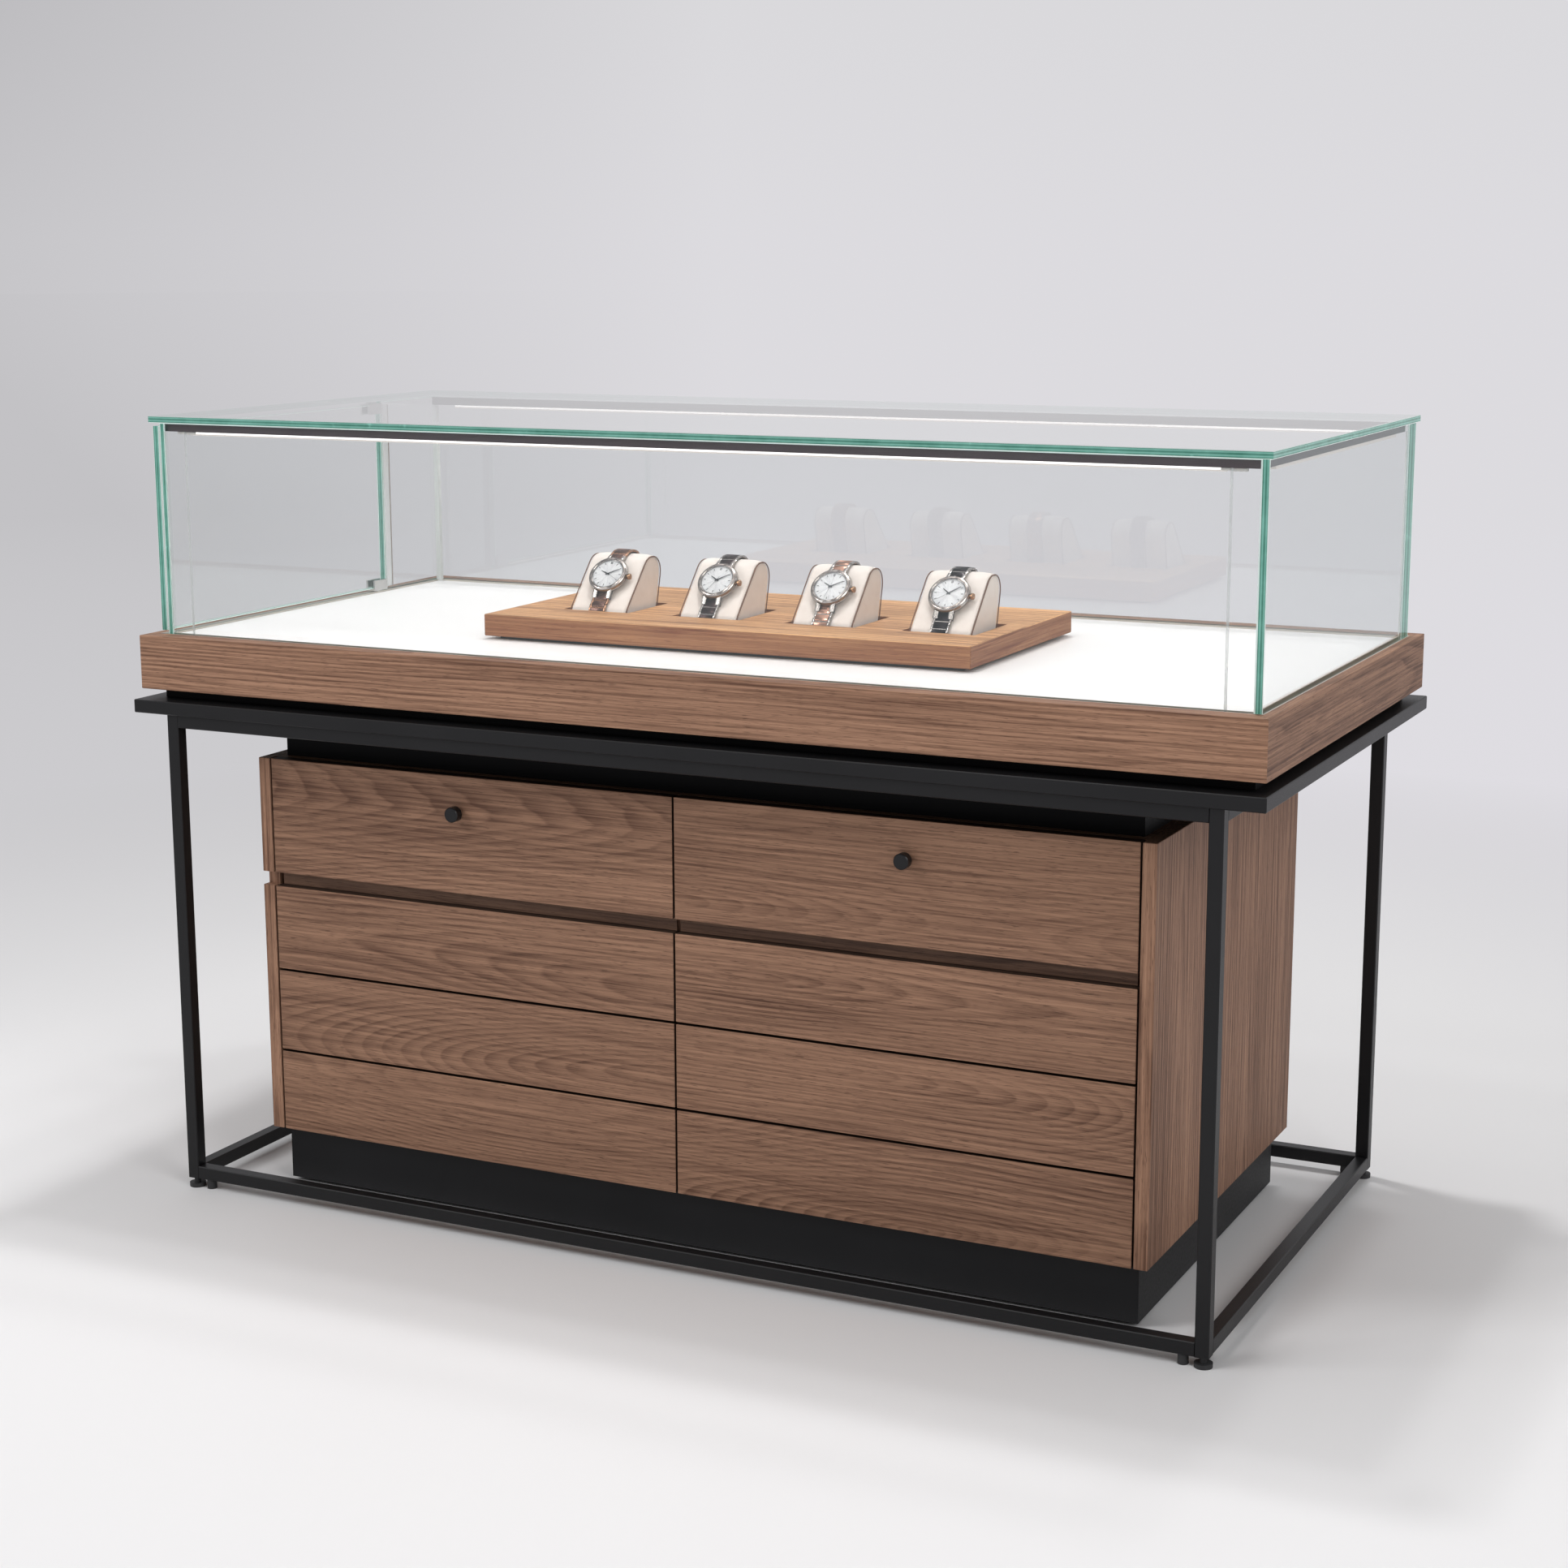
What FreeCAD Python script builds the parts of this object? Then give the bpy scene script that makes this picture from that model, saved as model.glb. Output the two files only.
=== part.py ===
# Display island with drawers: a glass showcase in a wood band on a black steel frame,
# over a free-standing drawer cabinet, with a tray of four watches inside the glass.
# Millimetres. +X runs along the long side, the front looks toward -Y, +Z is up.
# The origin is on the floor, under the centre of the steel ring.

import FreeCAD, Part
import math
import os
import re
import Sketcher
from FreeCAD import Placement, Rotation, Vector

# Driving sizes

SIZES = {
    # Wood band, which sets the length and depth of the whole island
    "band_length": 1400,
    "band_depth": 660,
    "band_height": 65,
    # Steel base frame of square tube, with a flat ring welded on top
    "ring_end_reach": 4,
    "ring_side_reach": 12,
    "ring_bar_width": 64,
    "ring_thickness": 16,
    "frame_end_inset": 44.5,
    "frame_side_inset": 5.5,
    "frame_height": 586,
    "tube_size": 16,
    "tube_wall": 1.5,
    "steel_edge": 1,
    # Levelling feet under the legs, glides beside them and glides under the plinth
    "foot_height": 12,
    "foot_radius": 10,
    "foot_pad_height": 5,
    "foot_stem_radius": 4,
    "foot_plug_radius": 6.2,
    "foot_plug_height": 12,
    "glide_radius": 6,
    "glide_offset": 22,
    "plinth_foot_height": 5,
    "plinth_foot_radius": 16,
    "plinth_foot_inset": 60,
    # Showcase base: black board, deck and the channel that holds the glass
    "base_board_end_inset": 18,
    "base_board_side_inset": 23,
    "base_board_thickness": 12,
    "deck_board_thickness": 18,
    "deck_panel_thickness": 12,
    "deck_recess": 2,
    "deck_gap": 0.5,
    "batten_thickness": 18,
    "batten_end_space": 67,
    "driver_length": 180,
    "driver_width": 52,
    "driver_height": 24,
    "driver_back_gap": 70,
    # Glass
    "glass_end_inset": 14,
    "glass_front_inset": 26,
    "glass_thickness": 8,
    "glass_rise": 254,
    "glass_overhang": 4,
    "top_glass_thickness": 8,
    "glass_edge": 0.6,
    "channel_height": 14,
    "channel_floor": 3,
    "channel_lip": 2,
    "glass_clearance": 0.3,
    # Glass door in the left end, on two pivots near its back edge
    "door_length": 467,
    "door_gap": 2,
    "door_sill_gap": 4,
    "door_head_gap": 4,
    "pivot_setback": 15,
    "pivot_radius": 3,
    "pivot_clearance": 0.05,
    "pivot_gap": 0.3,
    "patch_length": 30,
    "patch_height": 14,
    "patch_cheek": 3,
    "patch_sole": 3,
    "patch_notch_length": 22,
    "patch_notch_height": 8,
    "bearing_radius": 5,
    "bearing_depth": 8,
    "bearing_flange_radius": 7,
    "bearing_flange": 0.7,
    "head_plate_radius": 7,
    "head_plate_thickness": 1.7,
    "head_pin_length": 8,
    # Lighting under the top glass
    "led_width": 12,
    "led_height": 10.5,
    "led_slot_width": 8,
    "led_slot_depth": 3,
    "led_diffuser_drop": 4,
    "led_end_gap": 4,
    "led_dark_end": 36,
    # Cabinet
    "cabinet_end_space": 88.5,
    "cabinet_front_space": 60,
    "cabinet_rear_space": 74,
    "panel_thickness": 16,
    "wood_edge": 0.6,
    "back_thickness": 8,
    "front_thickness": 16,
    "cabinet_head_space": 56,
    "row_one_extra": 41.5,
    "row_two_extra": 4,
    "row_four_extra": 0.5,
    "groove_height": 17,
    "groove_recess": 12,
    "groove_side_notch": 6,
    "front_gap": 3,
    "front_side_gap": 2.3,
    "front_centre_gap": 2.5,
    "front_back_gap": 0.3,
    "rail_depth": 80,
    "rail_gap": 0.5,
    "neck_end_inset": 23,
    "neck_side_inset": 27.5,
    "plinth_end_inset": 14.5,
    "plinth_side_inset": 16.5,
    "plinth_height": 68,
    # Drawers and their runners
    "drawer_rear_space": 35,
    "drawer_wall": 12,
    "drawer_floor": 8,
    "drawer_bottom_gap": 22,
    "drawer_top_gap": 24,
    "runner_space": 13,
    "runner_front_space": 30,
    "runner_wall": 1.5,
    "runner_depth": 12,
    "tongue_height": 14,
    "tongue_drop": 16,
    "slide_gap": 0.3,
    "latch_size": 14,
    "latch_body": 24,
    "latch_plunger_radius": 3,
    "knob_radius": 9,
    "knob_length": 15,
    "knob_neck_radius": 5,
    "knob_neck_length": 3.5,
    "knob_bevel": 1,
    "knob_shift": 10,
    "knob_drop": 44,
    # Tray, cushions and watches
    "tray_length": 628,
    "tray_depth": 320,
    "tray_thickness": 26,
    "tray_edge": 1,
    "tray_shift": 3,
    "tray_centre": -10,
    "tray_base_inset": 14,
    "tray_base_height": 4,
    "pocket_side_space": 5,
    "pocket_front_space": 5.3,
    "pocket_rear_space": 19.7,
    "pocket_sink": 18,
    "pocket_left_border": 63.5,
    "pocket_right_border": 27.5,
    "pocket_front_border": 79,
    "cushion_width": 80,
    "cushion_base_depth": 75,
    "cushion_reach": 94,
    "cushion_slope": 57,
    "cushion_rise": 62,
    "cushion_foot_radius": 10,
    "cushion_knee_radius": 12,
    "cushion_brow_radius": 22,
    "cushion_back_radius": 20,
    "cushion_gap": 0.3,
    "strap_channel_depth": 5,
    "strap_channel_width": 27,
    "strap_gap": 0.5,
    "link_thickness": 3.2,
    "link_pitch": 8.2,
    "link_length": 7.3,
    "link_centre_width": 14,
    "link_end_width": 4.2,
    "case_radius": 24,
    "case_foot_radius": 18,
    "case_height": 9,
    "bezel_width": 3.4,
    "bezel_rise": 1.2,
    "dial_thickness": 0.4,
    "lug_width": 3.4,
    "lug_spread": 9.4,
    "lug_reach": 5,
    "crown_radius": 3.2,
    "crown_length": 4.5,
    "crown_stem_radius": 1.6,
    "crown_stem_length": 1.2,
    # How far a cutting solid runs past what it cuts
    "overrun": 5,
}

# Places worked out from the driving sizes

PLACES = {
    "ring_length": "band_length + 2 * ring_end_reach",
    "ring_depth": "band_depth + 2 * ring_side_reach",
    "frame_length": "ring_length - 2 * frame_end_inset",
    "frame_depth": "ring_depth - 2 * frame_side_inset",
    "frame_top": "foot_height + frame_height",
    "ring_top": "frame_top + ring_thickness",
    "case_bottom": "ring_top + base_board_thickness",
    "band_top": "case_bottom + band_height",
    "channel_bottom": "band_top - channel_height",
    "deck_board_bottom": "channel_bottom - deck_board_thickness",
    "deck_top": "band_top - deck_recess",
    "glass_bottom": "channel_bottom + channel_floor",
    "glass_wall_top": "band_top + glass_rise",
    "glass_half_length": "band_length / 2 - glass_end_inset",
    "glass_half_depth": "band_depth / 2 - glass_front_inset",
    "channel_half_length": "glass_half_length + channel_lip",
    "channel_half_depth": "glass_half_depth + channel_lip",
    "channel_width": "glass_thickness + 2 * channel_lip",
    "apron_thickness": "band_depth / 2 - channel_half_depth",
    "batten_half_span": "band_length / 2 - apron_thickness - batten_end_space - batten_thickness / 2",
    "deck_half_length": "channel_half_length - channel_width",
    "deck_half_depth": "channel_half_depth - channel_width",
    "slot_width": "glass_thickness + 2 * glass_clearance",
    "slot_half_length": "glass_half_length + glass_clearance",
    "slot_half_depth": "glass_half_depth + glass_clearance",
    "glass_inner_half_length": "glass_half_length - glass_thickness",
    "glass_inner_half_depth": "glass_half_depth - glass_thickness",
    "door_back": "door_length - glass_half_depth",
    "door_bottom": "band_top + door_sill_gap",
    "door_top": "glass_wall_top - door_head_gap",
    "pivot_x": "glass_thickness / 2 - glass_half_length",
    "pivot_y": "door_back - pivot_setback",
    "patch_half_width": "glass_thickness / 2 + patch_cheek",
    "patch_foot": "door_bottom - patch_sole",
    "patch_head": "glass_wall_top - head_plate_thickness - pivot_gap",
    "led_bottom": "glass_wall_top - led_height",
    "led_half_length": "glass_inner_half_length - led_end_gap",
    "led_half_depth": "glass_inner_half_depth - led_width - glass_clearance",
    "plinth_top": "plinth_foot_height + plinth_height",
    "cabinet_top": "frame_top - cabinet_head_space",
    "drawer_bank": "cabinet_top - plinth_top - groove_height - 2 * front_gap",
    "row_three_front": "(drawer_bank - row_one_extra - row_two_extra - row_four_extra) / 4",
    "row_one_front": "row_three_front + row_one_extra",
    "row_two_front": "row_three_front + row_two_extra",
    "row_four_front": "row_three_front + row_four_extra",
    "row_four_bottom": "plinth_top",
    "row_three_bottom": "row_four_bottom + row_four_front + front_gap",
    "row_two_bottom": "row_three_bottom + row_three_front + front_gap",
    "groove_bottom": "row_two_bottom + row_two_front",
    "row_one_bottom": "groove_bottom + groove_height",
    "cabinet_length": "frame_length - 2 * cabinet_end_space",
    "cabinet_front": "cabinet_front_space - frame_depth / 2",
    "cabinet_rear": "frame_depth / 2 - cabinet_rear_space",
    "cabinet_depth": "cabinet_rear - cabinet_front",
    "cabinet_shift": "(cabinet_front + cabinet_rear) / 2",
    "neck_length": "cabinet_length - 2 * neck_end_inset",
    "neck_depth": "cabinet_depth - 2 * neck_side_inset",
    "plinth_length": "cabinet_length - 2 * plinth_end_inset",
    "plinth_depth": "cabinet_depth - 2 * plinth_side_inset",
    "cabinet_half": "cabinet_length / 2 - panel_thickness",
    "front_rear_face": "cabinet_front + front_thickness",
    "carcass_front": "front_rear_face + front_back_gap",
    "bay_width": "cabinet_half - panel_thickness / 2",
    "front_width": "cabinet_half - front_side_gap - front_centre_gap / 2",
    "drawer_rear": "cabinet_rear - back_thickness - drawer_rear_space",
    "drawer_depth": "drawer_rear - front_rear_face",
    "drawer_width": "bay_width - 2 * runner_space",
    "drawer_near": "panel_thickness / 2 + runner_space",
    "tongue_width": "runner_space - runner_wall - slide_gap",
    "runner_length": "drawer_depth - runner_front_space",
    "runner_height": "tongue_height + 2 * slide_gap + 2 * runner_wall",
    "tray_bottom": "deck_top + tray_base_height",
    "tray_top": "tray_bottom + tray_thickness",
    "pocket_floor": "tray_top - pocket_sink",
    "pocket_length": "cushion_width + 2 * pocket_side_space",
    "pocket_depth": "pocket_front_space + cushion_base_depth + pocket_rear_space",
    "pocket_front": "tray_centre - tray_depth / 2 + pocket_front_border",
    "pocket_row_left": "tray_shift - tray_length / 2 + pocket_left_border + pocket_length / 2",
    "pocket_row_length": "tray_length - pocket_left_border - pocket_right_border - pocket_length",
    "cushion_front": "pocket_front + pocket_front_space",
}

ROWS = ("one", "two", "three", "four")
SIDES = {"left": -1, "right": 1}
WATCHES = (1, 2, 3, 4)

doc = FreeCAD.newDocument("display_island")
sizes = doc.addObject("Spreadsheet::Sheet", "sizes")
places = doc.addObject("Spreadsheet::Sheet", "places")
subparts = []


def linked(text, home=None):
    """The text with the sheet named before each size or place in it."""

    def with_sheet(match):
        word = match.group(0)
        if word in SIZES:
            return "sizes." + word
        if word in PLACES and home is not places:
            return "places." + word
        return word

    return re.sub(r"[a-z]\w*", with_sheet, text)


def fill(sheet, contents):
    """One row of the sheet for each name: the name, and its content under that alias."""
    for row, (name, content) in enumerate(contents.items(), start=1):
        sheet.set(f"A{row}", name)
        sheet.set(f"B{row}", content)
        sheet.setAlias(f"B{row}", name)


fill(sizes, {name: str(number) for name, number in SIZES.items()})
doc.recompute()
fill(places, {name: "=" + linked(text, places) for name, text in PLACES.items()})
doc.recompute()


def size(name):
    """The present value of a size or place, in millimetres."""
    sheet = sizes if name in SIZES else places
    return float(sheet.get(name))


def worked_out(text):
    """The present value of a sum of sizes and places, in millimetres."""
    numbers = re.sub(r"[a-z]\w*", lambda word: f"{size(word.group(0))}", text)
    return FreeCAD.Units.parseQuantity(numbers).Value


# Helpers that make bound objects


def bind(solid, **expressions):
    """Bind properties, written with __ for a dot, to sizes and places."""
    for path, text in expressions.items():
        solid.setExpression(path.replace("__", "."), linked(text))


def put(solid, x, y, z):
    bind(solid, Placement__Base__x=x, Placement__Base__y=y, Placement__Base__z=z)


def box(name, x, y, z, length, width, height):
    """A block from its low corner."""
    solid = doc.addObject("Part::Box", name)
    bind(solid, Length=length, Width=width, Height=height)
    put(solid, x, y, z)
    return solid


def centred_box(name, x, y, z, length, width, height):
    """A block centred on x and y, standing on z."""
    return box(name, f"{x} - ({length}) / 2", f"{y} - ({width}) / 2", z, length, width, height)


def cylinder(name, x, y, z, radius, height):
    solid = doc.addObject("Part::Cylinder", name)
    bind(solid, Radius=radius, Height=height)
    put(solid, x, y, z)
    return solid


def faceted_post(name, sides, x, y, z, radius, height):
    """A small round post with flat facets."""
    solid = doc.addObject("Part::Prism", name)
    solid.Polygon = sides
    bind(solid, Circumradius=radius, Height=height)
    put(solid, x, y, z)
    return solid


def eased(name, solid, edge, along="xyz"):
    """The solid with its edges along the named axes broken by a small chamfer."""
    doc.recompute()
    picked = []
    for number, line in enumerate(solid.Shape.Edges, start=1):
        heading = line.tangentAt(line.FirstParameter)
        axis = max("xyz", key=lambda name: abs(getattr(heading, name)))
        if axis in along:
            picked.append((number, size(edge), size(edge)))
    broken = doc.addObject("Part::Chamfer", name)
    broken.Base = solid
    broken.Edges = picked
    return broken


def cut(name, base, *tools):
    tool = tools[0] if len(tools) == 1 else fuse(name + "_tools", *tools)
    solid = doc.addObject("Part::Cut", name)
    solid.Base = base
    solid.Tool = tool
    return solid


def fuse(name, *solids):
    whole = doc.addObject("Part::MultiFuse", name)
    whole.Shapes = list(solids)
    whole.Refine = True
    return whole


def group(name, *solids):
    """Separate solids under one name."""
    whole = doc.addObject("Part::Compound", name)
    whole.Links = list(solids)
    return whole


def subpart(solid):
    """Keep an object as a sub-part, whose file has the object's own name."""
    solid.Label = solid.Name
    subparts.append(solid)
    return solid


def beside(side, near, width):
    """Low x of a piece that starts near the centre plane and runs outward on that side."""
    return near if side > 0 else f"-({near}) - ({width})"


def plane_of(body, role):
    return next(plane for plane in body.Origin.OriginFeatures if plane.Role == role)


def outline(body, role, corners):
    """A closed sketch on a plane of the body, each corner held by two bound distances."""
    sketch = body.newObject("Sketcher::SketchObject", body.Name + "_outline")
    sketch.AttachmentSupport = (plane_of(body, role), [""])
    sketch.MapMode = "FlatFace"
    count = len(corners)
    start_radius = size("tube_size")
    spots = []
    for index in range(count):
        turn = 2 * math.pi * index / count
        spots.append(Vector(start_radius * math.cos(turn), start_radius * math.sin(turn), 0))
    for index in range(count):
        sketch.addGeometry(Part.LineSegment(spots[index], spots[(index + 1) % count]), False)
    for index in range(count):
        sketch.addConstraint(Sketcher.Constraint("Coincident", index, 2, (index + 1) % count, 1))
    for index, (across, up) in enumerate(corners):
        for kind, text in (("DistanceX", across), ("DistanceY", up)):
            number = sketch.addConstraint(Sketcher.Constraint(kind, -1, 1, index, 1, start_radius))
            sketch.setExpression(f"Constraints[{number}]", linked(text))
    doc.recompute()
    return sketch


def prism(name, corners, height):
    """A body: a flat outline on its XY plane, padded upward."""
    body = doc.addObject("PartDesign::Body", name)
    pad = body.newObject("PartDesign::Pad", name + "_pad")
    pad.Profile = outline(body, "XY_Plane", corners)
    bind(pad, Length=height)
    body.Tip = pad
    return body


def turned(name, corners):
    """A body: an outline of radius and height pairs, turned about its Z axis."""
    body = doc.addObject("PartDesign::Body", name)
    turning = body.newObject("PartDesign::Revolution", name + "_turning")
    sketch = outline(body, "XZ_Plane", corners)
    turning.Profile = sketch
    turning.ReferenceAxis = (sketch, ["V_Axis"])
    turning.Angle = 360
    body.Tip = turning
    return body


# Steel base frame


def tube(name, x, y, z, length, width, height, bore_axis):
    """A square tube from its low corner, bored from end to end along one axis."""
    spans = {"x": length, "y": width, "z": height}
    starts = {"x": x, "y": y, "z": z}
    bore_starts = {}
    bore_spans = {}
    for axis in "xyz":
        if axis == bore_axis:
            bore_starts[axis] = f"{starts[axis]} - overrun"
            bore_spans[axis] = f"{spans[axis]} + 2 * overrun"
        else:
            bore_starts[axis] = f"{starts[axis]} + tube_wall"
            bore_spans[axis] = f"{spans[axis]} - 2 * tube_wall"
    blank = box(name + "_blank", x, y, z, length, width, height)
    outer = eased(name + "_outside", blank, "steel_edge", bore_axis)
    bore = box(name + "_bore", *bore_starts.values(), *bore_spans.values())
    return cut(name, outer, bore)


def make_frame():
    legs = []
    rails = []
    levels = {"floor": "foot_height", "upper": "frame_top - tube_size"}
    for side_name, side in SIDES.items():
        x = beside(side, "frame_length / 2 - tube_size", "tube_size")
        for end_name, end in (("front", -1), ("back", 1)):
            y = beside(end, "frame_depth / 2 - tube_size", "tube_size")
            name = f"leg_{end_name}_{side_name}"
            legs.append(tube(name, x, y, "foot_height", "tube_size", "tube_size", "frame_height", "z"))
        for level, z in levels.items():
            span = "frame_depth - 2 * tube_size"
            name = f"{level}_rail_{side_name}"
            rails.append(tube(name, x, f"-({span}) / 2", z, "tube_size", span, "tube_size", "y"))
    for end_name, end in (("front", -1), ("back", 1)):
        y = beside(end, "frame_depth / 2 - tube_size", "tube_size")
        for level, z in levels.items():
            span = "frame_length - 2 * tube_size"
            name = f"{level}_rail_{end_name}"
            rails.append(tube(name, f"-({span}) / 2", y, z, span, "tube_size", "tube_size", "x"))
    subpart(group("frame_legs", *legs))
    subpart(group("frame_rails", *rails))
    plate = centred_box("ring_plate", "0", "0", "frame_top", "ring_length", "ring_depth", "ring_thickness")
    inside = centred_box("ring_inside", "0", "0", "frame_top - overrun",
                         "ring_length - 2 * ring_bar_width", "ring_depth - 2 * ring_bar_width",
                         "ring_thickness + 2 * overrun")
    subpart(eased("ring_frame", cut("ring_blank", plate, inside), "steel_edge"))


def foot(name, x, y):
    """A levelling foot: pad, threaded stem and the plug that carries it inside the leg."""
    pad = faceted_post(name + "_pad", 24, x, y, "0", "foot_radius", "foot_pad_height")
    stem = faceted_post(name + "_stem", 12, x, y, "0", "foot_stem_radius", "foot_height")
    plug = faceted_post(name + "_plug", 12, x, y, "foot_height", "foot_plug_radius", "foot_plug_height")
    return fuse(name, pad, stem, plug)


def make_feet():
    feet = []
    for side_name, side in SIDES.items():
        for end_name, end in (("front", -1), ("back", 1)):
            x = f"{side} * (frame_length - tube_size) / 2"
            y = f"{end} * (frame_depth - tube_size) / 2"
            feet.append(foot(f"foot_{end_name}_{side_name}", x, y))
            feet.append(faceted_post(f"glide_{end_name}_{side_name}", 20,
                                     f"{x} - {side} * glide_offset", y,
                                     "0", "glide_radius", "foot_height"))
            feet.append(faceted_post(f"plinth_foot_{end_name}_{side_name}", 24,
                                     f"{side} * (plinth_length / 2 - plinth_foot_inset)",
                                     f"cabinet_shift + {end} * (plinth_depth / 2 - plinth_foot_inset)",
                                     "0", "plinth_foot_radius", "plinth_foot_height"))
    subpart(group("levelling_feet", *feet))


# Showcase base


def mitred_board(name, length, depth, side):
    """A board of the band: its outside is the full length, its ends are cut at 45 degrees."""
    corners = (
        (f"-{length} / 2", f"{side} * {depth} / 2"),
        (f"{length} / 2", f"{side} * {depth} / 2"),
        (f"{length} / 2 - apron_thickness", f"{side} * ({depth} / 2 - apron_thickness)"),
        (f"apron_thickness - {length} / 2", f"{side} * ({depth} / 2 - apron_thickness)"),
    )
    board = prism(name, corners, "band_height")
    ease_long_edges(board, f"{depth} / 2")
    put(board, "0", "0", "case_bottom")
    return board


def ease_long_edges(board, face):
    """Break the two long edges on the outer face of a mitred board."""
    doc.recompute()
    pad = board.Tip
    names = []
    for number, line in enumerate(pad.Shape.Edges, start=1):
        level = abs(line.CenterOfMass.y) - worked_out(face)
        if abs(level) < size("glass_clearance") and line.Length > size("band_height"):
            names.append(f"Edge{number}")
    chamfer = board.newObject("PartDesign::Chamfer", board.Name + "_edges")
    chamfer.Base = (pad, names)
    bind(chamfer, Size="wood_edge")
    board.Tip = chamfer


def make_band():
    subpart(centred_box("base_board", "0", "0", "ring_top", "band_length - 2 * base_board_end_inset",
                        "band_depth - 2 * base_board_side_inset", "base_board_thickness"))
    subpart(group("apron_long_boards",
                  mitred_board("apron_front", "band_length", "band_depth", -1),
                  mitred_board("apron_back", "band_length", "band_depth", 1)))
    ends = []
    for side_name, side in SIDES.items():
        board = mitred_board(f"apron_{side_name}_blank", "band_depth", "band_length", -side)
        board.Placement.Rotation = Rotation(Vector(0, 0, 1), 90)
        rebate = box(f"apron_{side_name}_rebate",
                     beside(side, "deck_half_length - overrun", "channel_width + overrun"),
                     "-channel_half_depth", "channel_bottom",
                     "channel_width + overrun", "2 * channel_half_depth", "channel_height + overrun")
        ends.append(cut(f"apron_{side_name}", board, rebate))
    subpart(group("apron_end_boards", *ends))


def make_deck():
    board = centred_box("deck_board_sheet", "0", "0", "deck_board_bottom",
                        "band_length - 2 * apron_thickness", "band_depth - 2 * apron_thickness",
                        "deck_board_thickness")
    battens = []
    for index in (-2, -1, 0, 1, 2):
        place = f"{index} / 2 * batten_half_span"
        battens.append(centred_box(f"batten_{index + 3}", place, "0", "case_bottom",
                                   "batten_thickness", "band_depth - 2 * apron_thickness",
                                   "deck_board_bottom - case_bottom"))
    subpart(group("deck_board", board, *battens))
    subpart(centred_box("deck_panel", "0", "0", "channel_bottom",
                        "2 * (deck_half_length - deck_gap)", "2 * (deck_half_depth - deck_gap)",
                        "deck_panel_thickness"))
    subpart(centred_box("led_driver", "batten_half_span / 4",
                        "glass_half_depth - driver_back_gap", "case_bottom",
                        "driver_length", "driver_width", "driver_height"))


def make_channel():
    """The channel let into the band all round, with a slot wherever a fixed pane stands."""
    bar = centred_box("channel_blank", "0", "0", "channel_bottom",
                      "2 * channel_half_length", "2 * channel_half_depth", "channel_height")
    middle = centred_box("channel_middle", "0", "0", "channel_bottom - overrun",
                         "2 * deck_half_length", "2 * deck_half_depth",
                         "channel_height + 2 * overrun")
    slot_height = "channel_height - channel_floor + overrun"
    front = box("channel_slot_front", "door_gap - glass_half_length + glass_thickness - glass_clearance",
                "-slot_half_depth", "glass_bottom",
                "glass_half_length + glass_inner_half_length - door_gap + 2 * glass_clearance",
                "slot_width", slot_height)
    back = box("channel_slot_back", "-slot_half_length", "slot_half_depth - slot_width", "glass_bottom",
               "2 * slot_half_length", "slot_width", slot_height)
    right = box("channel_slot_right", "slot_half_length - slot_width", "-slot_half_depth", "glass_bottom",
                "slot_width", "2 * slot_half_depth", slot_height)
    left = box("channel_slot_left", "-slot_half_length", "door_back + door_gap - glass_clearance",
               "glass_bottom", "slot_width", "slot_half_depth - door_back - door_gap + glass_clearance",
               slot_height)
    seat = cylinder("channel_bearing_seat", "pivot_x", "pivot_y", "band_top - bearing_depth",
                    "bearing_radius", "bearing_depth + overrun")
    subpart(cut("glass_channel", bar, middle, front, back, right, left, seat))


# Glass case


def make_glass():
    wall = "glass_wall_top - glass_bottom"
    subpart(box("glass_front", "door_gap - glass_inner_half_length", "-glass_half_depth", "glass_bottom",
                "2 * glass_inner_half_length - door_gap", "glass_thickness", wall))
    subpart(box("glass_back", "-glass_inner_half_length", "glass_inner_half_depth", "glass_bottom",
                "2 * glass_inner_half_length", "glass_thickness", wall))
    subpart(box("glass_right", "glass_inner_half_length", "-glass_half_depth", "glass_bottom",
                "glass_thickness", "2 * glass_half_depth", wall))
    subpart(box("glass_left", "-glass_half_length", "door_back + door_gap", "glass_bottom",
                "glass_thickness", "glass_half_depth - door_back - door_gap", wall))
    top = centred_box("glass_top_blank", "0", "0", "glass_wall_top",
                      "2 * (glass_half_length + glass_overhang)",
                      "2 * (glass_half_depth + glass_overhang)", "top_glass_thickness")
    subpart(eased("glass_top", top, "glass_edge"))


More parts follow.
